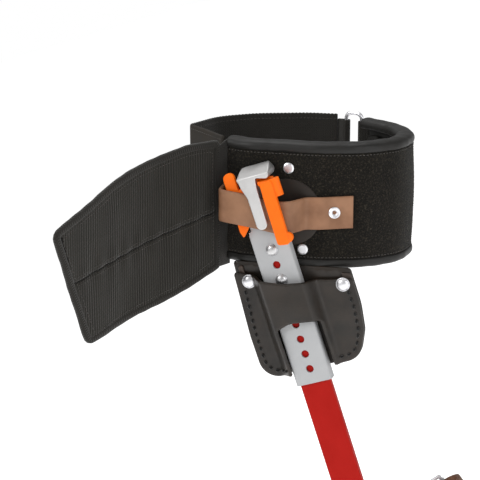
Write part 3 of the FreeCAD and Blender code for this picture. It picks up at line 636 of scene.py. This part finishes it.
WEBBING = cloth("band_webbing", tint(18, 16, 12), tint(31, 28, 22), 500.0, 420.0, 0.4, 0.25)
FLAP_TAPE = cloth("hook_tape_ribs", tint(15, 13, 8), tint(32, 29, 21), 420.0, 900.0, 1.0, 0.25)
FLAP_CLOTH = cloth("flap_backing_cloth", tint(19, 17, 13), tint(29, 26, 21), 700.0, 700.0, 0.3, 0.2)
THREAD = cloth("waxed_thread", tint(6, 5, 4), tint(12, 11, 9), 2500.0, 2500.0, 0.2, 0.05)
THREAD_GREY = cloth("grey_thread", tint(70, 66, 62), tint(52, 48, 46), 2500.0, 2500.0, 0.2, 0.05)
PILE_BLACK = pile_finish()


# ---------------------------------------------------------------- repeated things


def new_node_tree(name, inputs):
    tree = bpy.data.node_groups.new(name, "GeometryNodeTree")
    tree.interface.new_socket("Geometry", in_out="INPUT", socket_type="NodeSocketGeometry")
    ids = {}
    for label, kind in inputs:
        ids[label] = tree.interface.new_socket(label, in_out="INPUT", socket_type=kind).identifier
    tree.interface.new_socket("Geometry", in_out="OUTPUT", socket_type="NodeSocketGeometry")
    return tree, tree.nodes.new("NodeGroupInput"), tree.nodes.new("NodeGroupOutput"), ids


def finish_tree(tree, entry, leave, geometry):
    """Instances made real, then their material."""
    real = step(tree, "GeometryNodeRealizeInstances", {"Geometry": geometry})
    smooth = step(tree, "GeometryNodeSetShadeSmooth", {"Geometry": real.outputs["Geometry"]})
    coat = step(tree, "GeometryNodeSetMaterial",
                {"Geometry": smooth.outputs["Geometry"], "Material": entry.outputs["Finish"]})
    tree.links.new(coat.outputs["Geometry"], leave.inputs["Geometry"])


def step(tree, kind, feeds=None, **settings):
    """Add a node, set its modes, and feed its inputs with sockets or plain values."""
    node = tree.nodes.new(kind)
    for label, value in settings.items():
        setattr(node, label, value)
    for label, value in (feeds or {}).items():
        feed(tree, node.inputs[label], value)
    return node


def placed_on(tree, points, instance, rotation, scale=None):
    """One instance on each point."""
    feeds = {"Points": points, "Instance": instance, "Rotation": rotation}
    if scale is not None:
        feeds["Scale"] = scale
    return step(tree, "GeometryNodeInstanceOnPoints", feeds).outputs["Instances"]


def stitch_tree():
    """Short round-ended stitches, one at each pitch along the edges of the guide."""
    tree, entry, leave, ids = new_node_tree(
        "stitch_row", [("Pitch", "NodeSocketFloat"), ("Length", "NodeSocketFloat"),
                       ("Thread Radius", "NodeSocketFloat"), ("Finish", "NodeSocketMaterial")])
    line = step(tree, "GeometryNodeMeshToCurve", {"Mesh": entry.outputs["Geometry"]})
    spots = step(tree, "GeometryNodeCurveToPoints", mode="LENGTH",
                 feeds={"Curve": line.outputs["Curve"], "Length": entry.outputs["Pitch"]})
    bead = step(tree, "GeometryNodeMeshUVSphere", {"Segments": 6, "Rings": 4, "Radius": 1.0})
    thread = entry.outputs["Thread Radius"]
    size = step(tree, "ShaderNodeCombineXYZ", {"X": thread, "Y": thread, "Z": entry.outputs["Length"]})
    row = placed_on(tree, spots.outputs["Points"], bead.outputs["Mesh"], spots.outputs["Rotation"],
                    size.outputs["Vector"])
    finish_tree(tree, entry, leave, row)
    return tree, ids


def rivet_tree():
    """A low domed head with a rolled ring round it, one on each guide point, facing its way."""
    tree, entry, leave, ids = new_node_tree(
        "domed_rivets", [("Radius", "NodeSocketFloat"), ("Rise", "NodeSocketFloat"),
                         ("Ring Radius", "NodeSocketFloat"), ("Finish", "NodeSocketMaterial")])
    radius = entry.outputs["Radius"]
    dome = step(tree, "GeometryNodeMeshUVSphere", {"Segments": 32, "Rings": 16, "Radius": 1.0})
    size = step(tree, "ShaderNodeCombineXYZ", {"X": radius, "Y": radius, "Z": entry.outputs["Rise"]})
    shaped = step(tree, "GeometryNodeTransform",
                  {"Geometry": dome.outputs["Mesh"], "Scale": size.outputs["Vector"]})
    loop = step(tree, "GeometryNodeCurvePrimitiveCircle", {"Resolution": 32, "Radius": radius})
    wire = step(tree, "GeometryNodeCurvePrimitiveCircle",
                {"Resolution": 8, "Radius": entry.outputs["Ring Radius"]})
    ring = step(tree, "GeometryNodeCurveToMesh",
                {"Curve": loop.outputs["Curve"], "Profile Curve": wire.outputs["Curve"]})
    both = step(tree, "GeometryNodeJoinGeometry", {"Geometry": ring.outputs["Mesh"]})
    tree.links.new(shaped.outputs["Geometry"], both.inputs["Geometry"])
    facing = step(tree, "GeometryNodeInputNamedAttribute", {"Name": "facing"}, data_type="FLOAT_VECTOR")
    aim = step(tree, "FunctionNodeAlignRotationToVector", {"Vector": facing.outputs["Attribute"]}, axis="Z")
    heads = placed_on(tree, entry.outputs["Geometry"], both.outputs["Geometry"], aim.outputs["Rotation"])
    finish_tree(tree, entry, leave, heads)
    return tree, ids


def tuft_tree():
    """Napped pile: small bent tufts scattered over the guide's faces with a fixed seed."""
    tree, entry, leave, ids = new_node_tree(
        "pile_tufts", [("Density", "NodeSocketFloat"), ("Height", "NodeSocketFloat"),
                       ("Seed", "NodeSocketInt"), ("Finish", "NodeSocketMaterial")])
    seed, height = entry.outputs["Seed"], entry.outputs["Height"]
    spots = step(tree, "GeometryNodeDistributePointsOnFaces",
                 {"Mesh": entry.outputs["Geometry"], "Density": entry.outputs["Density"], "Seed": seed})
    tuft = step(tree, "GeometryNodeMeshIcoSphere", {"Subdivisions": 1, "Radius": 1.0})
    tilt = step(tree, "FunctionNodeRandomValue", data_type="FLOAT_VECTOR",
                feeds={"Min": (-0.7, -0.7, 0.0), "Max": (0.7, 0.7, 6.2), "Seed": seed})
    lean = step(tree, "FunctionNodeRotateRotation", rotation_space="LOCAL",
                feeds={"Rotation": spots.outputs["Rotation"], "Rotate By": tilt.outputs["Value"]})
    thin = calc(tree, "MULTIPLY", height, 0.42)
    size = step(tree, "ShaderNodeCombineXYZ", {"X": thin, "Y": thin, "Z": height})
    pile = placed_on(tree, spots.outputs["Points"], tuft.outputs["Mesh"], lean.outputs["Rotation"],
                     size.outputs["Vector"])
    finish_tree(tree, entry, leave, pile)
    return tree, ids


STITCHES, RIVETS, TUFTS = stitch_tree(), rivet_tree(), tuft_tree()


def grown(name, guide, tree_and_ids, values):
    """Run a tree over a guide mesh and keep only the plain mesh that it makes."""
    tree, ids = tree_and_ids
    modifier = guide.modifiers.new("grow", "NODES")
    modifier.node_group = tree
    for label, value in values.items():
        modifier[ids[label]] = value
    graph = bpy.context.evaluated_depsgraph_get()
    mesh = bpy.data.meshes.new_from_object(guide.evaluated_get(graph))
    guide.modifiers.clear()
    bpy.data.objects.remove(guide)
    return linked(name, mesh)


def stitches(name, runs, place, material, body, pitch=3.2, length=1.15, radius=0.38):
    """Rows of stitches along runs of points in a part's frame."""
    mesh = bpy.data.meshes.new(name + "_guide")
    points, edges = [], []
    for run in runs:
        first = len(points)
        points += in_metres(place, run)
        edges += [(i, i + 1) for i in range(first, len(points) - 1)]
    mesh.from_pydata(points, edges, [])
    guide = linked(name + "_guide", mesh)
    obj = grown(name, guide, STITCHES, {"Pitch": pitch * MM, "Length": length * MM,
                                        "Thread Radius": radius * MM, "Finish": material})
    return settled(obj, body)


def level_run(route, level, depth, pace, inset):
    """Points at one level along a route, held off it by a depth (a value or a function of place)."""
    run = []
    for s in route.stations(pace, inset, route.length - inset):
        spot, left = route.at(s)
        flat = spot + left * (depth(s) if callable(depth) else depth)
        run.append((flat[0], flat[1], level))
    return run


def rivets(name, spots, facing, place, radius, rise, ring, material, body):
    """Domed heads at points of a part's frame, each turned the way it faces."""
    mesh = bpy.data.meshes.new(name + "_guide")
    mesh.from_pydata(in_metres(place, spots), [], [])
    attribute = mesh.attributes.new("facing", "FLOAT_VECTOR", "POINT")
    aims = [(place.to_3x3() @ Vector(f)).normalized() for f in facing]
    attribute.data.foreach_set("vector", np.array(aims, float).ravel())
    guide = linked(name + "_guide", mesh)
    obj = grown(name, guide, RIVETS, {"Radius": radius * MM, "Rise": rise * MM,
                                      "Ring Radius": ring * MM, "Finish": material})
    return settled(obj, body)


def settled(obj, body, material=None, replaces=()):
    """Give a finished piece its material, body and the parts it stands for."""
    if material is not None:
        obj.data.materials.clear()
        obj.data.materials.append(material)
    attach(obj, body)
    if replaces:
        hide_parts(*replaces)
    return obj


def dress(material, *nodes):
    """Give parts that show as they are their material."""
    for node in nodes:
        slots = NODES[node].data.materials
        slots.clear()
        slots.append(material)


# ---------------------------------------------------------------- hard parts


def hard_parts():
    """Metal and moulded parts: some shown as they are, some with their edges softened."""
    dress(RED_PAINT, "leg_iron")
    dress(GREY_PAINT, "sleeve")
    dress(PLATE, "stiffener_plate")
    dress(ZINC, "gaff_screws", "hook_pin", "ankle_strap_loops", "loop_rivets",
          "ankle_buckle_frame", "ankle_buckle_roller", "ankle_buckle_prong")
    dress(NICKEL, "back_ring", "pad_rivets", "strap_rivet")
    settled(softened("strap_hook", "hook_casting", 0.4, 7), "calf_cuff", CAST,
            ["strap_hook"])
    settled(softened("strap_guard", "guard_moulding", 0.4, 7), "calf_cuff", ORANGE,
            ["strap_guard"])
    settled(softened("gaff", "gaff_forging", 0.5, 5), "leg_iron", DARK_STEEL, ["gaff"])
    front = (0, -1, 0)
    rivets("adjuster_screw_heads", [(0, -0.1, -31.2), (0, -0.1, -56.6)], [front] * 2, SLEEVE, 4.4, 2.6, 0.5,
           ZINC, "leg_iron")
    rivets("boot_rivet_heads", [(-28.4, 6.1, -52.5), (45.6, 6.1, -73.5)], [front] * 2, SLEEVE, 5.2, 2.7, 0.6,
           NICKEL, "calf_cuff")
    dress(ZINC, "adjuster_screws")
    dress(NICKEL, "boot_rivets")


# ---------------------------------------------------------------- calf cuff

CUFF_PATH = Route([(-33.2, 19.0), (-14.0, 11.8), (46.0, 11.8), (80.0, 22.0), (105.0, 46.0), (109.5, 78.0),
                   (95.0, 108.0), (63.0, 129.5)], [30.0, 40.0, 55.0, 40.0, 40.0, 55.0])
FACE_LOW, FACE_HIGH = -38.15, 47.95


def ripple(s, level, size, amount):
    """Smooth unevenness over a hand-made piece, repeatable."""
    return amount * noise.noise(Vector((s / size, level / size, 1.7)))


def face_belly(s):
    """How far the face swells between its edges: flat by the sleeve, full round the back."""
    return 1.4 * min(1.0, max(0.0, (s - 75.0) / 40.0))


def cuff_wall():
    """The cuff's wall from its face inwards: napped cloth, leather and a stuffed lining."""
    marks = CUFF_PATH.stations(2.5)
    face = swept("cuff_face", CUFF_PATH, marks,
                 lambda s: [(d + ripple(s, z, 18.0, 0.25) * min(1, face_belly(s)), z)
                            for d, z in slab(0.0, 1.6, FACE_LOW, FACE_HIGH, 24, 0.8, face_belly(s))], CUFF)
    guide = linked("cuff_nap_guide", face.data.copy())
    keep_outer(guide)
    tufts = grown("cuff_face_nap", guide, TUFTS, {"Density": 3.2e5, "Height": 0.42 * MM, "Seed": 11,
                                                  "Finish": PILE_BLACK})
    settled(tufts, "calf_cuff")
    settled(face, "calf_cuff", PILE_BLACK, ["loop_panel"])
    shell = swept("cuff_leather", CUFF_PATH, marks, lambda s: slab(1.68, 3.6, FACE_LOW, FACE_HIGH, 8), CUFF)
    settled(shell, "calf_cuff", BINDING, ["cuff_shell"])
    pad = swept("cuff_pad", CUFF_PATH, CUFF_PATH.stations(3.0, 2.0, CUFF_PATH.length - 2.0),
                lambda s: slab(6.6, 11.6, FACE_LOW + 2.5, FACE_HIGH - 2.5, 20, 2.4), CUFF)
    puffed(pad, 4.0, 4.0, 3.2)
    settled(pad, "calf_cuff", LINING, ["cuff_padding", "cuff_lining"])


def keep_outer(obj):
    """Leave only the faces that look away from the leg."""
    axis = CUFF @ Vector((30 * MM, 75 * MM, 0))
    upright = (CUFF.to_3x3() @ Vector((0, 0, 1))).normalized()
    bm = bmesh.new()
    bm.from_mesh(obj.data)
    doomed = []
    for face in bm.faces:
        arm = face.calc_center_median() - axis
        arm -= upright * arm.dot(upright)
        if face.normal.dot(arm.normalized()) < 0.35 or len(face.verts) > 4:
            doomed.append(face)
    bmesh.ops.delete(bm, geom=doomed, context="FACES")
    bm.to_mesh(obj.data)
    bm.free()


def bindings():
    """Leather rolled over the cuff's two edges."""
    marks = CUFF_PATH.stations(1.8)
    roll = [(-0.35, 47.6), (-0.9, 49.2), (-1.1, 51.0), (-0.7, 53.0), (0.6, 54.7), (3.0, 55.7), (6.7, 56.1),
            (10.4, 55.7), (12.9, 54.7), (14.2, 53.0), (14.6, 51.0), (14.3, 49.2), (13.7, 47.6), (11.0, 47.9),
            (6.7, 48.4), (2.4, 47.9)]

    def wrinkled(s, ring):
        return [(d + ripple(s, z, 7.0, 0.35), z + ripple(s + 90, d, 11.0, 0.45)) for d, z in ring]

    low_roll = [(d if d > 0 else d - 0.3, 9.8 - z) for d, z in roll]
    for name, node, ring in (("upper_rolled_edge", "upper_binding", roll),
                             ("lower_rolled_edge", "lower_binding", low_roll)):
        edge = swept(name, CUFF_PATH, marks, lambda s, ring=ring: wrinkled(s, ring), CUFF)
        finer = edge.modifiers.new("finer", "SUBSURF")
        finer.levels = finer.render_levels = 1
        bake_modifiers(edge)
        settled(edge, "calf_cuff", BINDING, [node])
    runs = [level_run(CUFF_PATH, level, lambda s: -0.15 - face_belly(s) * 0.12, 2.0, 1.0)
            for level in (46.3, -36.6)]
    stitches("cuff_edge_stitches", runs, CUFF, THREAD_GREY, "calf_cuff", 2.9, 0.95, 0.3)


def wear_disc():
    """Smooth disc on the cuff's face behind the hook, its rim rolled down."""
    rings = [(27.0, -0.05), (27.0, 0.45), (26.6, 0.75), (25.8, 0.9), (20.0, 0.95), (12.0, 0.95), (4.0, 0.95)]
    around = 96
    points, faces = [], []
    for radius, rise in rings:
        for k in range(around):
            a = math.tau * k / around
            points.append((20 + radius * math.cos(a), 11.8 - rise, -0.7 + radius * math.sin(a)))
    for i in range(len(rings) - 1):
        for k in range(around):
            j = (k + 1) % around
            faces.append((i * around + k, i * around + j, (i + 1) * around + j, (i + 1) * around + k))
    faces.append(tuple(range(around)))
    faces.append(tuple((len(rings) - 1) * around + k for k in range(around)))
    disc = made("smooth_disc", points, faces, CUFF)
    settled(disc, "calf_cuff", DISC_BLACK, ["wear_disc"])


STRAP_PATH = Route([(-32.6, 16.0), (-31.2, -7.1), (25.0, -7.1), (35.0, 9.3), (47.0, 9.3), (71.5, 16.65)],
                   [3.6, 7.0, 5.5, 12.0])


def retaining_strap():
    """Leather strap over the guard and behind the tongue, crowned where it is held off the cuff."""
    tops = ([-33, -8, 16, 80], [19.6, 16.2, 12.0, 15.0])
    width, half = 26.3, 1.4

    def section(s):
        x = STRAP_PATH.spot(s)[0]
        high = float(np.interp(x, *tops))
        low = high - width
        free = math.exp(-((x + 6.0) / 17.0) ** 4)
        ring = slab(-half, half, low, high, 14, 1.0)
        return [(d - 1.9 * free * math.sin(math.pi * min(1, max(0, (z - low) / width))) ** 0.8
                 + ripple(s, z, 16.0, 0.25), z) for d, z in ring]

    strap = swept("brown_strap", STRAP_PATH, STRAP_PATH.stations(1.2), lambda s: flipped(section(s)), CUFF)
    settled(strap, "calf_cuff", STRAP_BROWN, ["retaining_strap"])


def flipped(ring):
    """The same section in the other order of travel, its depths kept."""
    return list(reversed(ring))


BAND_PATH = Route([(32.4, 138.0), (8.0, 137.0), (-36.0, 122.0), (-63.0, 101.0), (-76.0, 64.5)],
                  [60.0, 60.0, 45.0])
SIDE_PATH = Route([(-75.2, 60.6), (-37.2, 22.2)], [])
RING_SPOT = (47.5, 133.5)
RING_TURN = math.radians(-16.0)


def closure_side():
    """Webbing round the back and leather from its corner to the crease, with the ring's two folds."""
    marks = BAND_PATH.stations(0.9)

    def band_section(s):
        scallop = 0.55 * abs(math.sin(math.pi * s / 3.1))
        ring = slab(0.0, 2.4, -43.8, 55.0 + scallop, 14, 0.9)
        return [(d + ripple(s, z, 30.0, 0.5), z) for d, z in ring]

    band = swept("back_webbing", BAND_PATH, marks, band_section, CUFF)
    settled(band, "calf_cuff", WEBBING, ["back_band"])

    def side_section(s):
        return [(d + ripple(s, z, 22.0, 0.5), z) for d, z in slab(0.0, 3.2, -45.8, 55.6, 20, 1.5)]

    side = swept("side_leather", SIDE_PATH, SIDE_PATH.stations(2.0), side_section, CUFF)
    settled(side, "calf_cuff", SIDE_LEATHER, ["side_panel"])
    runs = [level_run(SIDE_PATH, level, -0.1, 3.0, 3.0) for level in (52.4, -42.6)]
    runs += [level_run(BAND_PATH, level, depth, 3.0, 2.0) for depth in (-0.1, 2.5) for level in (51.0, -40.0)]
    stitches("closure_side_stitches", runs, CUFF, THREAD_GREY, "calf_cuff", 3.2, 1.1, 0.3)
    ring_fold("band_ring_fold", "band_fold", -7.3, (33.0, 137.9))
    ring_fold("cuff_ring_fold", "cuff_tail", 7.3, (61.8, 129.1))


def ring_fold(name, node, across, anchor):
    """Webbing that goes round one leg of the ring and back on itself."""
    leg = np.array(RING_SPOT) + across * np.array((math.cos(RING_TURN), math.sin(RING_TURN)))
    anchor = np.array(anchor)
    run = (anchor - leg) / np.linalg.norm(anchor - leg)
    side = np.array((-run[1], run[0]))
    radius = 2.75
    path = [anchor + side * 0.62, leg + run * 6.0 + side * 0.9, leg + run * 2.0 + side * 2.3]
    path += [leg + radius * (side * math.cos(a) - run * math.sin(a))
             for a in np.linspace(0.15, math.pi - 0.15, 13)]
    path += [leg + run * 2.0 - side * 2.3, leg + run * 6.0 - side * 0.9, anchor - side * 0.62]
    route = Route(path, [0.4] * (len(path) - 2))
    fold = swept(name, route, route.stations(0.6), lambda s: slab(-0.55, 0.55, -38.8, 51.1, 10), CUFF)
    settled(fold, "calf_cuff", WEBBING, [node])


# ---------------------------------------------------------------- closure flap

FLAP_UPPER = [(7.0, 54.6), (40.0, 55.0), (100.0, 42.5), (180.0, 9.5)]
FLAP_LOWER = [(148.0, -85.5), (100.0, -75.5), (50.0, -65.5), (7.0, -51.2)]
FLAP_CORNERS = [1.5, 90, 160, 4, 4, 200, 90, 1.5]
HOOK_TAPES = [
    ("upper_hook_tape", "hook_tape_upper",
     [(11, 49.5), (40, 49.8), (98, 38), (172, 7.5), (160, -33.1), (11, -2.3)], [1.0, 60, 90, 1.0, 1.0, 1.0]),
    ("lower_hook_tape", "hook_tape_lower",
     [(11, -3.3), (159.6, -34.1), (145.5, -80.2), (100, -70.5), (50, -60.3), (11, -48.0)],
     [1.0, 1.0, 1.0, 120, 70, 1.0])]
BOW = Route([(2.5, 0.0), (90.0, -9.0), (182.0, 0.0)], [190.0])
BOW_STEP = [BOW.at(s) for s in BOW.stations(2.0)]
BOW_X = [spot[0] for spot, _ in BOW_STEP]
BOW_Y = [spot[1] for spot, _ in BOW_STEP]
BOW_LEFT = [left[0] for _, left in BOW_STEP]
SEAM_START, SEAM_SLOPE = -2.75, -0.2065


def seam_level(x):
    """Where the seam between the two tapes runs."""
    return SEAM_START + SEAM_SLOPE * (x - 12)


def on_flap(x, z, depth):
    """A point of the bowed flap: along it, up it, and towards its hook side."""
    lean = float(np.interp(x, BOW_X, BOW_LEFT))
    return (x + lean * depth, float(np.interp(x, BOW_X, BOW_Y)) + depth * math.sqrt(1 - lean * lean), z)


def flap_rim(inset, spacing):
    """The flap's outline, drawn in from its edge."""
    upper = [(x, z - inset) for x, z in FLAP_UPPER]
    lower = [(x, z + inset) for x, z in FLAP_LOWER]
    upper[0] = (upper[0][0] + inset, upper[0][1])
    lower[-1] = (lower[-1][0] + inset, lower[-1][1])
    upper[-1] = (upper[-1][0] - inset, upper[-1][1] + inset * 0.35)
    lower[0] = (lower[0][0] - inset, lower[0][1])
    return closed_outline(upper + lower, FLAP_CORNERS, spacing)


def flap_waves(x, z):
    """The flap's slow unevenness: puckers along its centre seam and a ripple over all of it."""
    seam = abs(z - seam_level(x))
    pucker = 0.55 * math.exp(-seam / 9) * math.sin(x / 2.6 + 1.3 * math.sin(x / 17))
    return pucker + ripple(x, z, 34.0, 1.1)


def flap_layer(name, outline, spacing, depth, thick, ribs, material, nodes):
    flat, faces = cut_sheet(outline, spacing)
    points = []
    for x, z in flat:
        lift = flap_waves(x, z) + ribs * math.sin(math.tau * x / 2.6)
        seam = abs(z - seam_level(x))
        if ribs:
            lift -= 0.9 * math.exp(-seam / 1.6)
        points.append(on_flap(x, z, depth + lift))
    sheet = made(name, points, faces, FLAP, [(x, z) for x, z in flat])
    toward = (FLAP.to_3x3() @ Vector((0, 1, 0))).normalized()
    total = Vector()
    for polygon in sheet.data.polygons:
        total += polygon.normal
    if total.dot(toward) < 0:
        sheet.data.flip_normals()
    thickened(sheet, thick, 0.35)
    return settled(sheet, "closure_flap", material, nodes)


def flap():
    """Closure flap: backing, two ribbed hook tapes, a folded edge tape and the stitching."""
    backing_rim = flap_rim(4.0, 2.0)
    backing = flap_layer("flap_sheet", backing_rim, 2.0, 1.8, 1.5, 0.0, FLAP_CLOTH,
                         ["flap_backing"])
    for name, node, corners, turns in HOOK_TAPES:
        rim = closed_outline(corners, turns, 0.9)
        tape = flap_layer(name, rim, 0.9, 3.5, 1.6, 0.13, FLAP_TAPE, [node])
    edge = flap_binding()
    seam = [(x, seam_level(x)) for x in np.arange(14.0, 158.0, 3.0)]
    rows = [[on_flap(x, z + shift, 3.45 + flap_waves(x, z + shift)) for x, z in seam]
            for shift in (-3.4, 3.4)]
    rim = flap_rim(8.2, 3.0)
    rows.append([on_flap(x, z, 3.6 + flap_waves(x, z)) for x, z in rim])
    stitches("flap_stitches", rows, FLAP, THREAD_GREY, "closure_flap", 2.9, 0.95, 0.28)


def flap_binding():
    """Folded tape round the flap's edge, a little uneven as it was sewn."""
    rim = flap_rim(3.2, 2.0)
    count = len(rim)
    around = 14
    points, faces, uvs = [], [], []
    for i in range(count):
        along = rim[(i + 1) % count] - rim[i - 1]
        along /= np.linalg.norm(along)
        side = np.array((-along[1], along[0]))
        x, z = rim[i]
        wave = flap_waves(x, z)
        wide = 3.3 + ripple(i * 2.0, 3.0, 9.0, 0.5)
        for k in range(around):
            a = math.tau * k / around
            flat = rim[i] + side * wide * math.copysign(abs(math.cos(a)) ** 0.8, math.cos(a))
            depth = 1.8 + wave + 2.2 * math.copysign(abs(math.sin(a)) ** 0.7, math.sin(a))
            points.append(on_flap(flat[0], flat[1], depth))
            uvs.append((i * 2.0, k * 0.9))
    for i in range(count):
        for k in range(around):
            j, m = (i + 1) % count, (k + 1) % around
            faces.append((i * around + k, i * around + m, j * around + m, j * around + k))
    edge = made("flap_edge_tape", points, faces, FLAP, uvs)
    return settled(edge, "closure_flap", WEBBING, ["flap_binding"])


def hinge_cloth():
    """Cloth that joins the cuff and side panel to the flap across the crease."""
    low, high = -49.0, 53.6
    reach = [(-4.0, 0.2), (0.0, 0.9), (3.0, 1.3), (7.0, 1.6), (13.0, 1.5)]
    xs = np.linspace(reach[0][0], reach[-1][0], 16)
    rows = 40
    points, faces, uvs = [], [], []
    for x in xs:
        for j in range(rows + 1):
            t = j / rows
            top = high - 0.4 * max(0, x)
            z = low + (top - low) * t
            depth = float(np.interp(x, *zip(*reach)))
            points.append((x, depth + 0.35 * math.sin(z / 3.3) * (1 - abs(x - 3) / 10), z))
            uvs.append((x, z))
    for i in range(len(xs) - 1):
        for j in range(rows):
            a = i * (rows + 1) + j
            faces.append((a, a + 1, a + rows + 2, a + rows + 1))
    cloth_piece = made("hinge_cloth", points, faces, FLAP, uvs)
    thickened(cloth_piece, 1.4, 0.3)
    cloth_piece.data.materials.append(FLAP_CLOTH)
    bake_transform(cloth_piece)


# ---------------------------------------------------------------- boot

BOOT_LEFT = [(-41.5, -97.0), (-41.0, -134.5)]
BOOT_RIGHT = [(40.5, -135.2), (50.4, -114.0), (53.5, -93.0)]
BOOT_NOTCH = [(-16.3, -134.5), (-16.3, -94.8), (-3.0, -91.0), (22.0, -94.5), (22.0, -135.2)]
BACK_TOP = [(53.5, -63.8), (-37.5, -34.2)]
FRONT_TOP = [(53.5, -71.0), (34.0, -67.3), (18.0, -62.4), (2.0, -59.5), (-14.0, -53.8), (-25.0, -48.4),
             (-38.5, -42.6)]
MARGIN_Y, CROWN = 6.3, 13.3
BACK_Y, BOOT_THICK = 11.0, 2.5
STITCH_LIFT = 0.85


def smooth_step(low, high, x):
    t = min(1.0, max(0.0, (x - low) / (high - low)))
    return t * t * (3 - 2 * t)


def boot_front_y(x, z):
    """Depth of the boot's front face: flat margins and a crown over the sleeve."""
    rise = smooth_step(-26.5, -15.0, x) * (1 - smooth_step(16.0, 27.0, x))
    settle = 1 - 0.22 * smooth_step(-96.0, -130.0, z)
    slack = 1.0 + 0.05 * math.sin((x + 10) / 9.0)
    return MARGIN_Y - CROWN * rise * settle * slack + ripple(x, z, 22.0, 0.5)


def boot():
    """Leather pocket below the cuff: crowned front, welt and flat back, sewn down both sides."""
    shape = FRONT_TOP + BOOT_LEFT + BOOT_NOTCH + BOOT_RIGHT
    rim = closed_outline(shape, [2, 20, 20, 30, 30, 30, 2, 60, 15, 1, 5, 18, 5, 1, 16, 14, 30], 1.2)
    flat, faces = cut_sheet(rim, 1.3)
    points = [(x, boot_front_y(x, z), z) for x, z in flat]
    outwards = SLEEVE.to_3x3() @ Vector((0, -1, 0))
    front = made("boot_front_leather", points, faces, SLEEVE)
    face_towards(front, outwards)
    thickened(front, BOOT_THICK, 0.7)
    settled(front, "calf_cuff", BOOT_LEATHER, ["boot_front"])
    back_rim = closed_outline(BACK_TOP + BOOT_LEFT + BOOT_RIGHT, [2, 2, 60, 15, 16, 14, 30], 1.6)
    flat, faces = cut_sheet(back_rim, 3.0)
    points = [(x, BACK_Y + ripple(x, z, 30.0, 0.2), z) for x, z in flat]
    back = made("boot_back_leather", points, faces, SLEEVE)
    face_towards(back, outwards)
    thickened(back, BOOT_THICK, 0.6)
    settled(back, "calf_cuff", BOOT_LEATHER, ["boot_back"])
    settled(softened("boot_welt", "boot_welt_strip", 0.6, 3), "calf_cuff", WELT_LEATHER,
            ["boot_welt"])
    left_run = Route([(-34.0, -61.0), (-36.6, -97.0), (-36.4, -130.2), (-19.5, -130.2)], [50, 12])
    right_run = Route([(27.0, -130.6), (38.8, -130.6), (46.4, -113.0), (48.8, -93.0), (48.0, -81.0)],
                      [13, 12, 26])
    rows = []
    for run in (left_run, right_run):
        spots = [run.spot(s) for s in run.stations(1.5)]
        rows.append([(x, boot_front_y(x, z) - STITCH_LIFT, z) for x, z in spots])
    stitches("boot_stitches", rows, SLEEVE, THREAD, "calf_cuff", 5.8, 1.8, 1.25)


def face_towards(obj, way):
    """Turn an open sheet over if it faces the wrong way."""
    total = Vector()
    for polygon in obj.data.polygons:
        total += polygon.normal * polygon.area
    if total.dot(way) < 0:
        obj.data.flip_normals()


# ---------------------------------------------------------------- ankle strap


def ankle_pieces():
    """The lower strap's three leathers, their edges rolled over."""
    for node, name, voxel in (("ankle_strap", "ankle_leather_strap", 0.75),
                              ("ankle_chape", "chape_leather", 0.4),
                              ("ankle_keeper", "keeper_leather", 0.4)):
        settled(softened(node, name, voxel, 4), "leg_iron", ANKLE_BROWN, [node])


# ---------------------------------------------------------------- camera, light and floor


def camera():
    """Long lens, turned and raised a little, level with the cuff."""
    turn, rise = math.radians(15), math.radians(15)
    back = Vector((math.sin(turn) * math.cos(rise), -math.cos(turn) * math.cos(rise), math.sin(rise)))
    right = Vector((math.cos(turn), math.sin(turn), 0))
    up = Vector((-math.sin(turn) * math.sin(rise), math.cos(turn) * math.sin(rise), math.cos(rise)))
    spot = back * 1.5 - right * 0.0158 - up * 0.02133
    view = Matrix.Identity(4)
    for i, axis in enumerate((right, up, back)):
        view.col[i][:3] = axis
    view.col[3][:3] = spot
    data = bpy.data.cameras.new("camera")
    data.lens = 142.4
    data.sensor_width = 36.0
    obj = linked("camera", data)
    obj.matrix_world = CUFF @ view
    scene.camera = obj


def soft_light(name, spot, aim, size, power):
    data = bpy.data.lights.new(name, "AREA")
    data.shape = "SQUARE"
    data.size = size
    data.energy = power
    obj = linked(name, data)
    way = (Vector(aim) - Vector(spot)).normalized()
    obj.matrix_world = Matrix.Translation(spot) @ way.to_track_quat("-Z", "Y").to_matrix().to_4x4()


def studio():
    """White surroundings, three soft lights and a pale floor."""
    world = bpy.data.worlds.new("studio")
    scene.world = world
    world.use_nodes = True
    sky = world.node_tree
    seen = sky.nodes.new("ShaderNodeLightPath").outputs["Is Camera Ray"]
    sky.links.new(spread(sky, seen, 0.0, 1.0, 0.42, 1.0), sky.nodes["Background"].inputs["Strength"])
    sky.nodes["Background"].inputs["Color"].default_value = (1, 1, 1, 1)
    aim = (0.02, -0.02, 0.33)
    soft_light("key", (-0.9, -1.3, 1.5), aim, 0.9, 20)
    soft_light("fill", (1.5, -1.1, 0.7), aim, 1.0, 8)
    soft_light("top", (0.1, 0.2, 1.7), aim, 1.2, 12)
    mesh = bpy.data.meshes.new("floor")
    ground = cad_box[0][2] - 0.0005
    size = 12.0
    corners = [(x * size, y * size, ground) for x, y in ((-1, -1), (1, -1), (1, 1), (-1, 1))]
    mesh.from_pydata(corners, [], [(0, 1, 2, 3)])
    floor = linked("floor", mesh)
    pale = Finish("pale_floor", (0.92, 0.92, 0.92), 0.9, Emission_Color=(1, 1, 1, 1), Emission_Strength=0.62)
    mesh.materials.append(pale.material)
    scene.view_settings.view_transform = "Standard"


# ---------------------------------------------------------------- make everything

camera()
studio()
hard_parts()
cuff_wall()
bindings()
wear_disc()
retaining_strap()
closure_side()
flap()
hinge_cloth()
boot()
ankle_pieces()
